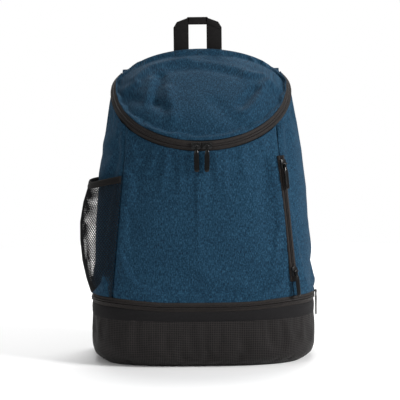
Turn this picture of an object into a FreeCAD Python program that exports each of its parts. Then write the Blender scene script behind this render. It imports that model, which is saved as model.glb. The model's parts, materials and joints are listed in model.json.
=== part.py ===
import FreeCAD, Part
import math
import os
import re

import PartDesign
import Sketcher

# Racket backpack. Millimetres, +Z up, front faces -Y, origin at the middle of the underside.
# The bag is three bodies: a base that holds shoes, the pack above it, which opens on a zip round
# three sides of the base, and a round lid, which opens on a zip that lies in a tilted plane.

DIMENSIONS = {
    "body_width": 316,
    "body_depth": 166,
    "wall": 3,
    "body_gap": 0.4,
    # base and the shape of its outline
    "base_zip_height": 86.5,
    "base_toe_in": 15,
    "base_shoulder_in": 6,
    "base_upright_height": 45,
    "piping_height": 9.4,
    "piping_size": 3,
    "base_axis_back": 60,
    "base_rear_axis": 120,
    "base_corner_power": 3.2,
    "taper_power": 2.8,
    "front_power": 1.3,
    # lid and the tilted plane of its zip
    "lid_tilt": 36,
    "lid_radius": 125,
    "lid_rear_axis": 80,
    "lid_axis_back": 60.4,
    "lid_back_height": 420,
    "lid_hinge_back": 13,
    # seams of the front panel
    "seam_base_half": 129,
    "seam_top_half": 105,
    "seam_top_height": 330,
    # zips and their sliders
    "tape_width": 6.5,
    "tape_thickness": 0.85,
    "chain_half": 2.6,
    "chain_height": 1.8,
    "slider_length": 14,
    "slider_half": 4.8,
    "slider_plate": 1.3,
    "slider_clearance": 0.35,
    "crown_half": 4.6,
    "crown_leg": 1.6,
    "crown_width": 3,
    "bar_radius": 0.9,
    "bar_rise": 2.5,
    "pull_bore_radius": 0.98,
    "pull_eye_radius": 2,
    "pull_length": 36,
    "pull_width": 9,
    "pull_thickness": 2.8,
    "pull_lift": 2.5,
    # haul loop, folded from webbing
    "webbing": 20,
    "webbing_thickness": 1.6,
    "loop_width": 22,
    "loop_centre": -4,
    "loop_half_span": 35,
    "loop_foot": 430,
    "loop_shoulder": 467,
    "loop_top": 485,
    "loop_fold": 11,
    # front pocket and bottle pocket
    "pocket_depth": 16,
    "pocket_lining": 1.5,
    "pocket_top": 290,
    "bottle_bulge": 16,
    "bottle_mouth_bulge": 4,
    "bottle_foot": 95.5,
    "bottle_height": 252,
    "net_thickness": 1.6,
    "binding_height": 10,
    # inner divider and the back
    "sleeve_thickness": 4,
    "sleeve_gap": 30,
    "sleeve_top": 345,
    "board_thickness": 1.5,
    "sheet_half": 100,
    "pad_thickness": 9,
    "pad_inner": 18,
    "pad_outer": 104,
    "pad_low": 150,
    "pad_high": 360,
    "lumbar_half": 96,
    "lumbar_top_half": 62,
    "lumbar_low": 100,
    "lumbar_high": 137,
    "yoke_low": 372,
    "yoke_half": 88,
    # shoulder straps
    "strap_thickness": 9,
    "strap_top_height": 398,
    "strap_hem_height": 196,
    "strap_inner": 16,
    "strap_waist_inner": 40,
    "strap_waist_height": 300,
    "strap_hem_inner": 56,
    "strap_width": 62,
    "web_inner": 66,
    "strap_swing_gap": 1,
    "lock_width": 34,
    "lock_height": 30,
    "lock_thickness": 5,
    "lock_slot": 7,
    "lock_slot_low": 4,
    "lock_slot_high": 17,
    "anchor_height": 112,
    "anchor_half_height": 14,
    "anchor_inner": 104,
    "anchor_outer": 134,
    "anchor_thickness": 3,
}

doc = FreeCAD.newDocument("RacketBackpack")
sheet = doc.addObject("Spreadsheet::Sheet", "Dimensions")
for row, (alias, number) in enumerate(DIMENSIONS.items(), start=1):
    sheet.set(f"A{row}", alias)
    sheet.set(f"B{row}", str(number))
    sheet.setAlias(f"B{row}", alias)
doc.recompute()

X_AXIS = FreeCAD.Vector(1, 0, 0)
Z_AXIS = FreeCAD.Vector(0, 0, 1)
REACH = 400
OUTLINE_STEPS = 12
RING_OVERRUN = 20
pieces = []


def size(alias):
    """One driving dimension, read from the sheet."""
    return float(sheet.get(alias))


def bound(text):
    """An expression in which each alias is looked up in the sheet."""
    def looked_up(match):
        word = match.group(0)
        return f"Dimensions.{word}" if word in DIMENSIONS else word
    return re.sub(r"[a-z_]{3,}", looked_up, str(text))


def value_of(text):
    """The number that such an expression gives now."""
    return float(sheet.evalExpression(bound(text)))


def turned(rotation, centre=FreeCAD.Vector(0, 0, 0)):
    """A placement that only turns, about a centre."""
    return FreeCAD.Placement(FreeCAD.Vector(0, 0, 0), rotation, centre)


def keep(thing, label):
    """Name a finished sub-part; its Label is its file's name."""
    thing.Label = label
    pieces.append(thing)
    return thing


# ---------------------------------------------------------------- building blocks

def feature(name, shape, placement=None):
    thing = doc.addObject("Part::Feature", name)
    thing.Shape = shape
    if placement is not None:
        thing.Placement = placement
    return thing


def box(name, along_x, along_y, along_z):
    """A box between pairs of expressions."""
    thing = doc.addObject("Part::Box", name)
    for side, axis, (low, high) in zip(("Length", "Width", "Height"), "xyz", (along_x, along_y, along_z)):
        thing.setExpression(side, bound(f"({high}) - ({low})"))
        thing.setExpression(f"Placement.Base.{axis}", bound(low))
    return thing


def cylinder(name, radius, length, start, rotation):
    """A cylinder of bound size from a start point, along the rotated Z axis."""
    thing = doc.addObject("Part::Cylinder", name)
    thing.setExpression("Radius", bound(radius))
    thing.setExpression("Height", bound(length))
    thing.Placement = FreeCAD.Placement(FreeCAD.Vector(0, 0, 0), rotation)
    for axis, text in zip("xyz", start):
        thing.setExpression(f"Placement.Base.{axis}", bound(text))
    return thing


def cut(name, base, tool):
    thing = doc.addObject("Part::Cut", name)
    thing.Base = base
    thing.Tool = tool
    return thing


def common(name, base, tool):
    thing = doc.addObject("Part::Common", name)
    thing.Base = base
    thing.Tool = tool
    return thing


def fuse(name, members):
    thing = doc.addObject("Part::MultiFuse", name)
    thing.Shapes = members
    return thing


def outline_pad(name, role, points, start, length, rounding=None):
    """A body padded from a polygon of bound points on one of its origin planes."""
    body = doc.addObject("PartDesign::Body", name)
    plane = [item for item in body.Origin.OriginFeatures if item.Role == role][0]
    sketch = body.newObject("Sketcher::SketchObject", name + "Outline")
    sketch.AttachmentSupport = [(plane, "")]
    sketch.MapMode = "FlatFace"
    sketch.AttachmentOffset = FreeCAD.Placement(FreeCAD.Vector(0, 0, value_of(start)), FreeCAD.Rotation())
    corners = [FreeCAD.Vector(value_of(along), value_of(up), 0) for along, up in points]
    for index, corner in enumerate(corners):
        sketch.addGeometry(Part.LineSegment(corner, corners[(index + 1) % len(corners)]), False)
    for index in range(len(corners)):
        sketch.addConstraint(Sketcher.Constraint("Coincident", index, 2, (index + 1) % len(corners), 1))
    for index, corner in enumerate(corners):
        for kind, text, number in zip(("DistanceX", "DistanceY"), points[index], corner):
            constraint = sketch.addConstraint(Sketcher.Constraint(kind, index, 1, number))
            sketch.setExpression(f"Constraints[{constraint}]", bound(text))
    pad = body.newObject("PartDesign::Pad", name + "Pad")
    pad.Profile = sketch
    pad.Length = value_of(length)
    pad.setExpression("Length", bound(length))
    if rounding is not None:
        doc.recompute()
        edges = [f"Edge{number}" for number, edge in enumerate(pad.Shape.Edges, start=1)
                 if is_square_to_plane(edge, role)]
        fillet = body.newObject("PartDesign::Fillet", name + "Rounding")
        fillet.Base = (pad, edges)
        fillet.setExpression("Radius", bound(rounding))
    return body


def is_square_to_plane(edge, role):
    """True for a straight edge that runs along the pad's direction."""
    direction = edge.Vertexes[-1].Point - edge.Vertexes[0].Point
    axis = {"XZ_Plane": "y", "XY_Plane": "z", "YZ_Plane": "x"}[role]
    return abs(abs(getattr(direction, axis)) - direction.Length) < 1e-6


# ---------------------------------------------------------------- soft forms

BACK_Y = size("body_depth") / 2
WALL = size("wall")
TILT = math.radians(size("lid_tilt"))


def blended(at_base, at_lid, share):
    return at_base + (at_lid - at_base) * share


def section_frame(share):
    """The placement of a cross-section, from level at the base (0) to the lid's plane (1)."""
    tilt = size("lid_tilt") * share
    axis_back = blended(size("base_axis_back"), size("lid_axis_back"), share)
    height = blended(size("base_zip_height"), size("lid_back_height"), share)
    centre = FreeCAD.Vector(0, BACK_Y - axis_back * math.cos(math.radians(tilt)),
                            height - axis_back * math.sin(math.radians(tilt)))
    return FreeCAD.Placement(centre, FreeCAD.Rotation(X_AXIS, tilt))


def section_axes(share):
    """Half-width, front and rear half-depths and the roundness power of a cross-section."""
    narrowing = (size("body_width") / 2 - size("lid_radius")) * max(share, 0) ** size("taper_power")
    half_width = size("body_width") / 2 - narrowing
    frame = section_frame(share)
    slope = math.radians(size("lid_tilt") * share)
    rim_y = BACK_Y - (size("lid_axis_back") + size("lid_radius")) * math.cos(TILT)
    front_y = blended(-BACK_Y, rim_y, max(share, 0) ** size("front_power"))
    front = (frame.Base.y - front_y) / math.cos(slope)
    rear = blended(size("base_rear_axis"), size("lid_rear_axis"), share)
    power = blended(size("base_corner_power"), 2, min(share, 1))
    return half_width, front, rear, power


def section_wire(share, inset, frame=None):
    """A closed outline of two splines: a rounded front and a rounded rear half."""
    half_width, front, rear, power = section_axes(share)
    edges = []
    for depth, turn in ((inset - front, 0), (rear - inset, math.pi)):
        points = []
        for step in range(OUTLINE_STEPS + 1):
            angle = turn + math.pi * step / OUTLINE_STEPS
            across, along = math.cos(angle), abs(math.sin(angle))
            roundness = (abs(across) ** power + along ** power) ** (1 / power)
            reach = (half_width - inset) * across / roundness
            points.append(FreeCAD.Vector(reach, depth * along / roundness, 0))
        heading = FreeCAD.Vector(0, math.copysign(1, depth), 0)
        curve = Part.BSplineCurve()
        parameters = [step / OUTLINE_STEPS for step in range(OUTLINE_STEPS + 1)]
        curve.interpolate(Points=points, Parameters=parameters, InitialTangent=heading, FinalTangent=-heading)
        edges.append(curve.toShape())
    wire = Part.Wire(edges)
    wire.Placement = frame or section_frame(share)
    return wire


def pack_form(inset, low, high):
    """The pack's soft form between two shares of the way up, before its back is trimmed."""
    shares = [blended(low, high, step / 4) for step in range(5)]
    return Part.makeLoft([section_wire(share, inset) for share in shares], True, False)


def base_outline(inset, back_inset=0):
    """The base's level outline as a flat face at z = 0, cut straight across at the back."""
    frame = FreeCAD.Placement(FreeCAD.Vector(0, section_frame(0).Base.y, 0), FreeCAD.Rotation())
    oval = Part.Face(section_wire(0, inset, frame))
    before = Part.makePlane(2 * REACH, REACH + BACK_Y - back_inset, FreeCAD.Vector(-REACH, -REACH, 0))
    return oval.common(before).Faces[0]


def base_ring(outer, inner, low, high):
    """An upright ring between two outlines of the base, open at the back."""
    faces = base_outline(outer).cut(base_outline(inner, -RING_OVERRUN)).Faces
    if len(faces) != 1:
        raise RuntimeError(f"The ring from {outer} to {inner} came out in {len(faces)} faces")
    ring = faces[0]
    ring.translate(FreeCAD.Vector(0, 0, low))
    return ring.extrude(FreeCAD.Vector(0, 0, high - low))


LID_FRAME = section_frame(1)


def lid_oval(height, inset):
    """A level outline in the lid's own frame: half a circle in front, half an ellipse behind."""
    radius = size("lid_radius") - inset
    rear = size("lid_rear_axis") * radius / size("lid_radius")
    right = FreeCAD.Vector(radius, 0, 0)
    left = FreeCAD.Vector(-radius, 0, 0)
    front = Part.Arc(right, FreeCAD.Vector(0, -radius, 0), left).toShape()
    ellipse = Part.Ellipse(FreeCAD.Vector(0, 0, 0), radius, rear)
    behind = Part.ArcOfEllipse(ellipse, 0, math.pi).toShape()
    wire = Part.Wire(Part.__sortEdges__([front, behind]))
    wire.translate(FreeCAD.Vector(0, 0, height))
    wire.Placement = LID_FRAME.multiply(wire.Placement)
    return wire


# The crown of the lid, as heights over the zip's plane and how far each outline has drawn in.
CROWN = ((0, 0), (5.2, 3.8), (12, 10), (20, 23), (27, 43), (31, 65), (33, 92))


def lid_form(drop, inset):
    wires = [lid_oval(height - drop, drawn_in + inset) for height, drawn_in in CROWN]
    return Part.makeLoft(wires, True, False)


def lid_cone(outset, low, high):
    """A cone along the lid zip's rim, which stands straight up at the front."""
    lean = math.tan(TILT)
    grow = outset / math.cos(TILT)
    wires = [lid_oval(height, height * lean - grow) for height in (low, high)]
    return Part.makeLoft(wires, True, True)


def lid_band(outer, inner, low, high):
    return lid_cone(outer, low, high).cut(lid_cone(inner, low, high))


def half_space(name, placement, low, high):
    """A wide slab between two heights of a frame."""
    slab = Part.makeBox(2 * REACH, 2 * REACH, high - low, FreeCAD.Vector(-REACH, -REACH, low))
    return feature(name, slab, placement)


GAP = size("body_gap") / 2
pack_outer_raw = feature("PackOuter", pack_form(0, 0, 1))
pack_inner_raw = feature("PackInner", pack_form(WALL, -0.04, 1.04))
lid_outer_raw = feature("LidOuter", lid_form(0, 0))
lid_inner_raw = feature("LidInner", lid_form(WALL, WALL))
below_lid = half_space("BelowLid", LID_FRAME, -REACH, -GAP)
above_lid = half_space("AboveLid", LID_FRAME, GAP, REACH)
trim_height = size("tape_width") * math.cos(TILT) + 2 * GAP
lid_trim = feature("LidTrim", lid_band(14, 0, 0, trim_height))
pack_trim = feature("PackTrim", lid_band(14, 0, -trim_height, 0))

before_back = box("BeforeBack", ("-body_width", "body_width"), ("-body_depth", "body_depth/2"),
                  ("base_zip_height + body_gap/2", "lid_back_height + 60"))
inside_back = box("InsideBack", ("-body_width", "body_width"), ("-body_depth", "body_depth/2 - wall"),
                  ("-10", "lid_back_height + 60"))
back_slab = box("BackSlab", ("-body_width", "body_width"), ("body_depth/2 - wall", "body_depth/2"),
                ("-10", "lid_back_height + 60"))
front_region = outline_pad(
    "FrontRegion", "XZ_Plane",
    [("-seam_base_half - 1", "base_zip_height - 8"), ("seam_base_half + 1", "base_zip_height - 8"),
     ("seam_top_half", "seam_top_height"), ("-seam_top_half", "seam_top_height")],
    "20", "body_depth")
left_region = box("LeftRegion", ("-body_width", "0"), ("-body_depth", "body_depth/2 - wall"),
                  ("-10", "lid_back_height + 60"))
right_region = box("RightRegion", ("0", "body_width"), ("-body_depth", "body_depth/2 - wall"),
                   ("-10", "lid_back_height + 60"))

# ---------------------------------------------------------------- line of the pocket zip

def frame_at(origin, along, outward):
    """A placement whose X runs along the chain and whose Z points out of the tape."""
    across = outward.cross(along)
    matrix = FreeCAD.Matrix(along.x, across.x, outward.x, origin.x,
                            along.y, across.y, outward.y, origin.y,
                            along.z, across.z, outward.z, origin.z, 0, 0, 0, 1)
    return FreeCAD.Placement(matrix)


def seam_point(share):
    """A point on the pack's surface at the right seam, and the outward direction there."""
    half_width, front, rear, power = section_axes(share)
    reach = blended(size("seam_base_half"), size("seam_top_half"), share)
    depth = front * (1 - (reach / half_width) ** power) ** (1 / power)
    frame = section_frame(share)
    point = frame.multVec(FreeCAD.Vector(reach, -depth, 0))
    slope = FreeCAD.Vector((reach / half_width) ** (power - 1) / half_width,
                           -(depth / front) ** (power - 1) / front, 0)
    return point, frame.Rotation.multVec(slope.normalize())


# The pocket zip runs straight up the right seam, between two shares of the pack's height.
ZIP_FOOT = 0.13
ZIP_HEAD = 0.825
zip_low, outward_low = seam_point(ZIP_FOOT)
zip_high, outward_high = seam_point(ZIP_HEAD)
zip_along = (zip_high - zip_low).normalize()
zip_outward = outward_low + outward_high
zip_outward = (zip_outward - zip_along * zip_outward.dot(zip_along)).normalize()
swell = max((seam_point(blended(ZIP_FOOT, ZIP_HEAD, step / 8))[0] - zip_low).dot(zip_outward)
            for step in range(9))
ZIP_LENGTH = (zip_high - zip_low).Length
pocket_frame = frame_at(zip_low + zip_outward * swell, zip_along, zip_outward)
print(f"pocket zip: length {ZIP_LENGTH:.1f}, origin {pocket_frame.Base}, "
      f"along {zip_along}, outward {zip_outward}")
GROOVE_HALF = 7.5
groove = feature("PocketGroove", Part.makeBox(ZIP_LENGTH + 4, 2 * GROOVE_HALF, GROOVE_HALF,
                                              FreeCAD.Vector(-2, -GROOVE_HALF, 0)), pocket_frame)

# ---------------------------------------------------------------- pack: walls

pack_grooved = cut("PackGrooved", pack_outer_raw, groove)
pack_trimmed = cut("PackTrimmed", common("PackBelowLid", common("PackBody", pack_grooved, before_back),
                                         below_lid), pack_trim)
pack_hollow = common("PackHollow", pack_inner_raw, inside_back)
pack_shell = cut("PackShell", pack_trimmed, pack_hollow)
pack_sides = cut("PackSides", pack_shell, back_slab)

keep(common("FrontPanel", pack_sides, front_region), "front_panel")
keep(cut("LeftGusset", common("LeftShell", pack_sides, left_region), front_region), "left_gusset")
keep(cut("RightGusset", common("RightShell", pack_sides, right_region), front_region), "right_gusset")
keep(common("BackPanel", pack_shell, back_slab), "back_panel")
floor_region = box("FloorRegion", ("-body_width", "body_width"), ("-body_depth", "body_depth/2 - wall"),
                   ("base_zip_height + body_gap/2", "base_zip_height + body_gap/2 + wall"))
keep(common("DividerFloor", pack_inner_raw, floor_region), "divider_floor")

# ---------------------------------------------------------------- lid and top gusset

lid_whole = common("LidAbove", lid_outer_raw, above_lid)
lid_clear = cut("LidClear", lid_whole, lid_trim)
lid_hollow = common("LidHollow", lid_inner_raw, inside_back)
lid_shell = cut("LidHollowed", lid_clear, lid_hollow)
lid_region = box("LidRegion", ("-body_width", "body_width"),
                 ("-body_depth", "body_depth/2 - lid_hinge_back - body_gap/2"), ("0", "lid_back_height + 60"))
gusset_region = box("TopRegion", ("-body_width", "body_width"),
                    ("body_depth/2 - lid_hinge_back + body_gap/2", "body_depth/2"),
                    ("0", "lid_back_height + 60"))
keep(common("LidShell", lid_shell, lid_region), "lid_shell")
top_above = cut("TopHollowed", lid_outer_raw, lid_hollow)
top_over_pack = common("TopOverPack", top_above, half_space("FromLidPlane", LID_FRAME, -GAP, REACH))
keep(common("TopGusset", top_over_pack, gusset_region), "top_gusset")

# ---------------------------------------------------------------- zips

zip_region = box("ZipRegion", ("-body_width", "body_width"),
                 ("-body_depth", "body_depth/2 - lid_hinge_back - 2"), ("0", "lid_back_height + 60"))
TAPE = size("tape_thickness")
CHAIN_TOP = TAPE + size("chain_height")
tape_reach = size("tape_width") * math.cos(TILT)
chain_reach = size("chain_half") * math.cos(TILT)
for side, label in ((1, "upper"), (-1, "lower")):
    tape = lid_band(TAPE, 0, *sorted((side * GAP, side * (GAP + tape_reach))))
    chain = lid_band(CHAIN_TOP, TAPE, *sorted((side * GAP, side * (GAP + chain_reach))))
    band = feature("LidTapeBand" + label, tape)
    keep(common("LidTape" + label, band, zip_region), "lid_zip_tape_" + label)
    keep(common("LidChain" + label, feature("LidChainBand" + label, chain), zip_region),
         "lid_zip_chain_" + label)

base_zip_region = box("BaseZipRegion", ("-body_width", "body_width"), ("-body_depth", "body_depth/2 - 25"),
                      ("0", "body_depth"))
ZIP_Z = size("base_zip_height")
for side, label in ((1, "upper"), (-1, "lower")):
    tape_levels = sorted((ZIP_Z + side * GAP, ZIP_Z + side * (GAP + size("tape_width"))))
    chain_levels = sorted((ZIP_Z + side * GAP, ZIP_Z + side * (GAP + size("chain_half"))))
    tape = feature("BaseTapeRing" + label, base_ring(-TAPE, 0, *tape_levels))
    chain = feature("BaseChainRing" + label, base_ring(-CHAIN_TOP, -TAPE, *chain_levels))
    keep(common("BaseTape" + label, tape, base_zip_region), "base_zip_tape_" + label)
    keep(common("BaseChain" + label, chain, base_zip_region), "base_zip_chain_" + label)

# ---------------------------------------------------------------- base

TOE_IN = size("base_toe_in")
SHOULDER_IN = size("base_shoulder_in")
PIPING_Z = size("piping_height")
UPRIGHT_Z = size("base_upright_height")
base_top = ZIP_Z - GAP


def base_wire(inset, height, back_inset=0):
    """The base's outline at a height, inset all round and, at the back, by its own amount."""
    wire = base_outline(inset, back_inset).OuterWire
    wire.translate(FreeCAD.Vector(0, 0, height))
    return wire


pan = Part.makeLoft([base_wire(TOE_IN, 0), base_wire(SHOULDER_IN, PIPING_Z)], True, True)
pan_hollow = base_outline(TOE_IN + WALL, WALL)
pan_hollow.translate(FreeCAD.Vector(0, 0, WALL))
pan_hollow = pan_hollow.extrude(FreeCAD.Vector(0, 0, PIPING_Z))
keep(feature("BaseBottom", pan.cut(pan_hollow)), "base_bottom")

wall_outer = Part.makeLoft([base_wire(SHOULDER_IN, PIPING_Z), base_wire(0, UPRIGHT_Z),
                            base_wire(0, base_top)], True, True)
lean = SHOULDER_IN / (UPRIGHT_Z - PIPING_Z)
wall_inner = Part.makeLoft([base_wire(SHOULDER_IN + WALL + lean, PIPING_Z - 1, WALL),
                            base_wire(WALL, UPRIGHT_Z, WALL),
                            base_wire(WALL, base_top + 1, WALL)], True, True)
base_walls = feature("BaseWalls", wall_outer.cut(wall_inner))
base_sides = cut("BaseSides", base_walls, back_slab)
base_front_region = box("BaseFrontRegion", ("-seam_base_half", "seam_base_half"),
                        ("-body_depth", "-20"), ("0", "base_zip_height"))
keep(common("BaseFront", base_sides, base_front_region), "base_front_wall")
keep(cut("BaseLeft", common("BaseLeftShell", base_sides, left_region), base_front_region), "base_left_wall")
keep(cut("BaseRight", common("BaseRightShell", base_sides, right_region), base_front_region),
     "base_right_wall")
keep(common("BaseBack", base_walls, back_slab), "base_back_wall")

piping_half = size("piping_size") / 2
piping_inset = SHOULDER_IN - lean * 2 * piping_half
piping = feature("PipingForm", base_ring(piping_inset - piping_half, piping_inset,
                                         PIPING_Z, PIPING_Z + 2 * piping_half))
keep(common("Piping", piping, base_zip_region), "base_piping")
board = base_outline(TOE_IN + 12, WALL + 8)
board.translate(FreeCAD.Vector(0, 0, WALL))
keep(feature("BaseBoard", board.extrude(FreeCAD.Vector(0, 0, size("board_thickness")))), "base_board")

# ---------------------------------------------------------------- sliders and pulls

QUARTER = FreeCAD.Rotation(Z_AXIS, 90)
along_x = FreeCAD.Rotation(FreeCAD.Vector(0, 1, 0), 90)
PLATE_LOW = "(tape_thickness + chain_height + slider_clearance)"
PLATE_TOP = "(tape_thickness + chain_height + slider_clearance + slider_plate)"
BAR_LEVEL = "(tape_thickness + chain_height + slider_clearance + slider_plate + bar_rise)"


def slider(label, placement, crown_turn, flange_sides):
    """A slider over the chain, with a flange beside it and a crown that carries the pull's bar."""
    members = [box(label + "_plate", ("-slider_length/2", "slider_length/2"),
                   ("-slider_half", "slider_half"), (PLATE_LOW, PLATE_TOP))]
    for side in flange_sides:
        near, far = ("chain_half + body_gap/2 + slider_clearance", "slider_half")
        span = (near, far) if side > 0 else (f"-({far})", f"-({near})")
        members.append(box(f"{label}_flange{side + 1}", ("-slider_length/2", "slider_length/2"), span,
                           ("tape_thickness + slider_clearance", PLATE_LOW)))
    crown = []
    leg_spans = {-1: ("-crown_half", "crown_leg - crown_half"), 1: ("crown_half - crown_leg", "crown_half")}
    for side in (-1, 1):
        crown.append(box(f"{label}_leg{side + 1}", leg_spans[side], ("-crown_width/2", "crown_width/2"),
                         (PLATE_TOP, f"{BAR_LEVEL} + bar_radius + 0.5")))
    crown.append(cylinder(label + "_bar", "bar_radius", "2*crown_half - crown_leg",
                          ("-crown_half + crown_leg/2", "0", BAR_LEVEL), along_x))
    arch = fuse(label + "_arch", crown)
    arch.Placement = FreeCAD.Placement(FreeCAD.Vector(0, 0, 0), crown_turn)
    whole = fuse(label + "_whole", members + [arch])
    whole.Placement = placement
    return keep(whole, label)


def pull(label, placement, turn):
    """A moulded pull on the slider's bar, which lies along local -Y before its turn."""
    eye = cylinder(label + "_eye", "pull_eye_radius", "2*(crown_half - crown_leg) - 0.6",
                   ("-(crown_half - crown_leg) + 0.3", "0", BAR_LEVEL), along_x)
    neck = box(label + "_neck", ("-pull_eye_radius", "pull_eye_radius"), ("-8", "-0.8"),
               (f"{BAR_LEVEL} - 1", f"{BAR_LEVEL} + 1"))
    grip = box(label + "_grip", ("-pull_width/2", "pull_width/2"), ("-pull_length", "-6.5"),
               (f"{BAR_LEVEL} - pull_thickness/2", f"{BAR_LEVEL} + pull_thickness/2"))
    bore = cylinder(label + "_bore", "pull_bore_radius", "4*crown_half", ("-2*crown_half", "0", BAR_LEVEL),
                    along_x)
    blank = fuse(label + "_blank", [eye, neck, grip])
    whole = cut(label + "_whole", blank, bore)
    whole.Placement = placement.multiply(turn)
    return keep(whole, label)


def lid_slider_frame(angle):
    """A frame on the lid zip's circle, at an angle round it from the middle of the front."""
    turned = LID_FRAME.multiply(FreeCAD.Placement(FreeCAD.Vector(0, 0, 0), FreeCAD.Rotation(Z_AXIS, angle)))
    origin = turned.multVec(FreeCAD.Vector(0, -size("lid_radius"), 0))
    along = turned.Rotation.multVec(X_AXIS)
    outward = turned.Rotation.multVec(FreeCAD.Vector(0, -math.cos(TILT), math.sin(TILT)))
    return frame_at(origin, along, outward)


straight = FreeCAD.Rotation()
hanging = FreeCAD.Placement()
bar_centre = FreeCAD.Vector(0, 0, value_of(BAR_LEVEL))
slider_angle = math.degrees((size("slider_length") / 2 + 0.4) / size("lid_radius"))
for side, hand in ((-1, "left"), (1, "right")):
    place = lid_slider_frame(side * slider_angle)
    upright = FreeCAD.Rotation(Z_AXIS, -side * slider_angle)
    slider("lid_slider_" + hand, place, upright, (1,))
    lifted = turned(FreeCAD.Rotation(X_AXIS, -size("pull_lift")), bar_centre)
    pull("lid_pull_" + hand, place, turned(upright).multiply(lifted))

side_frame = frame_at(FreeCAD.Vector(size("body_width") / 2, section_frame(0).Base.y + 25, ZIP_Z),
                      FreeCAD.Vector(0, 1, 0), FreeCAD.Vector(1, 0, 0))
slider("base_slider", side_frame, straight, (-1,))
pull("base_pull", side_frame, hanging)


tape_block = Part.makeBox(ZIP_LENGTH, 2 * size("tape_width") - 2, 12 + TAPE,
                          FreeCAD.Vector(0, 1 - size("tape_width"), -12))
pocket_tape = cut("PocketTapeCut", feature("PocketTapeBlock", tape_block, pocket_frame), pack_grooved)
keep(cut("PocketTape", pocket_tape, pack_trim), "pocket_zip_tape")
chain_bar = doc.addObject("Part::Box", "PocketChain")
chain_bar.Length = ZIP_LENGTH - 4
chain_bar.setExpression("Width", bound("2*chain_half"))
chain_bar.setExpression("Height", bound("chain_height"))
chain_bar.Placement = pocket_frame.multiply(FreeCAD.Placement(
    FreeCAD.Vector(2, -size("chain_half"), TAPE), FreeCAD.Rotation()))
keep(chain_bar, "pocket_zip_chain")
for label, distance in (("upper", ZIP_LENGTH - 12), ("lower", 14)):
    place = pocket_frame.multiply(FreeCAD.Placement(FreeCAD.Vector(distance, 0, 0), FreeCAD.Rotation()))
    slider("pocket_slider_" + label, place, QUARTER, (-1, 1))
    pull("pocket_pull_" + label, place, turned(FreeCAD.Rotation(Z_AXIS, -90)))

# ---------------------------------------------------------------- front pocket and racket sleeve

pocket_outer = feature("PocketOuter", pack_form(size("pocket_depth"), 0.03, 0.9))
pocket_skin = feature("PocketSkin", pack_form(size("pocket_depth") + size("pocket_lining"), 0.01, 0.92))
pocket_region = box("PocketRegion", ("-seam_top_half + 6", "seam_top_half - 6"), ("-body_depth", "-40"),
                    ("base_zip_height + 6", "pocket_top"))
pocket_wall = common("PocketWall", cut("PocketShell", pocket_outer, pocket_skin), pocket_region)
keep(pocket_wall, "front_pocket_lining")
sleeve_outline = [("-body_width/2 + 10", "base_zip_height + 4"),
                  ("body_width/2 - 10", "base_zip_height + 4"),
                  ("body_width/2 - 12", "sleeve_top - 145"), ("lid_radius", "sleeve_top - 35"),
                  ("lid_radius - 55", "sleeve_top"), ("55 - lid_radius", "sleeve_top"),
                  ("-lid_radius", "sleeve_top - 35"), ("12 - body_width/2", "sleeve_top - 145")]
keep(outline_pad("RacketSleeve", "XZ_Plane", sleeve_outline,
                 "wall + sleeve_gap - body_depth/2", "sleeve_thickness", "12"), "racket_sleeve")
frame_sheet = box("FrameSheet", ("-sheet_half", "sheet_half"),
                  ("body_depth/2 - wall - board_thickness", "body_depth/2 - wall"),
                  ("base_zip_height + 12", "lid_back_height - 45"))
keep(frame_sheet, "frame_sheet")

# ---------------------------------------------------------------- bottle pocket


def seam_at(height):
    """The left seam's point at a height, found by halving the shares between base and lid."""
    low, high = 0, 1
    for _ in range(30):
        share = (low + high) / 2
        point = seam_point(share)[0]
        low, high = (share, high) if point.z < height else (low, share)
    return FreeCAD.Vector(-point.x, point.y, height)


NET_RISE = 315.5  # the height over which the net's side would narrow as far as the lid's width


def crescent(height, bulge, thickness):
    """The net's cross-section: an arc that bulges from the front seam to the back edge."""
    half_width = section_axes((height - ZIP_Z) / NET_RISE)[0]
    front = seam_at(height) + FreeCAD.Vector(-0.6, -0.6, 0)
    rear = FreeCAD.Vector(-half_width + 4, BACK_Y - 14, height)
    middle = FreeCAD.Vector(-half_width - bulge, -4, height)
    inner = [point + FreeCAD.Vector(thickness, 0, 0) for point in (front, middle, rear)]
    return Part.Wire([Part.Arc(front, middle, rear).toShape(), Part.makeLine(rear, inner[2]),
                      Part.Arc(inner[2], inner[1], inner[0]).toShape(), Part.makeLine(inner[0], front)])


net_base = size("bottle_foot")
net_top = size("bottle_height")
mouth = size("bottle_mouth_bulge")
net_levels = [(net_base, 3), (net_base + 45, size("bottle_bulge")), (net_base + 100, size("bottle_bulge")),
              (net_top, mouth)]
net = Part.makeLoft([crescent(height, bulge, size("net_thickness")) for height, bulge in net_levels],
                    True, False)
keep(cut("BottleNet", feature("NetForm", net), pack_outer_raw), "bottle_pocket_net")
binding_levels = (net_top, net_top + size("binding_height"))
binding = Part.makeLoft([crescent(height, mouth, size("net_thickness") + TAPE) for height in binding_levels],
                        True, True)
keep(cut("BottleBinding", feature("BindingForm", binding), pack_outer_raw), "bottle_pocket_binding")

# ---------------------------------------------------------------- haul loop

leg_inner = "(loop_half_span - loop_width)"
loop_right = [("loop_half_span", "loop_foot"), ("loop_half_span", "loop_shoulder"), (leg_inner, "loop_top")]
loop_inside = [(leg_inner, "loop_top - loop_fold"), (leg_inner, "loop_foot")]
loop_points = [(f"loop_centre + {across}", up) for across, up in loop_right]
loop_points += [(f"loop_centre - {across}", up) for across, up in loop_right[::-1] + loop_inside[::-1]]
loop_points += [(f"loop_centre + {across}", up) for across, up in loop_inside]
loop_body = outline_pad("HaulLoopBlank", "XZ_Plane", loop_points, "-body_depth/2 + 3",
                        "2*webbing_thickness")
keep(cut("HaulLoop", loop_body, lid_outer_raw), "haul_loop")

# ---------------------------------------------------------------- back: pads, straps and anchors

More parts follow.
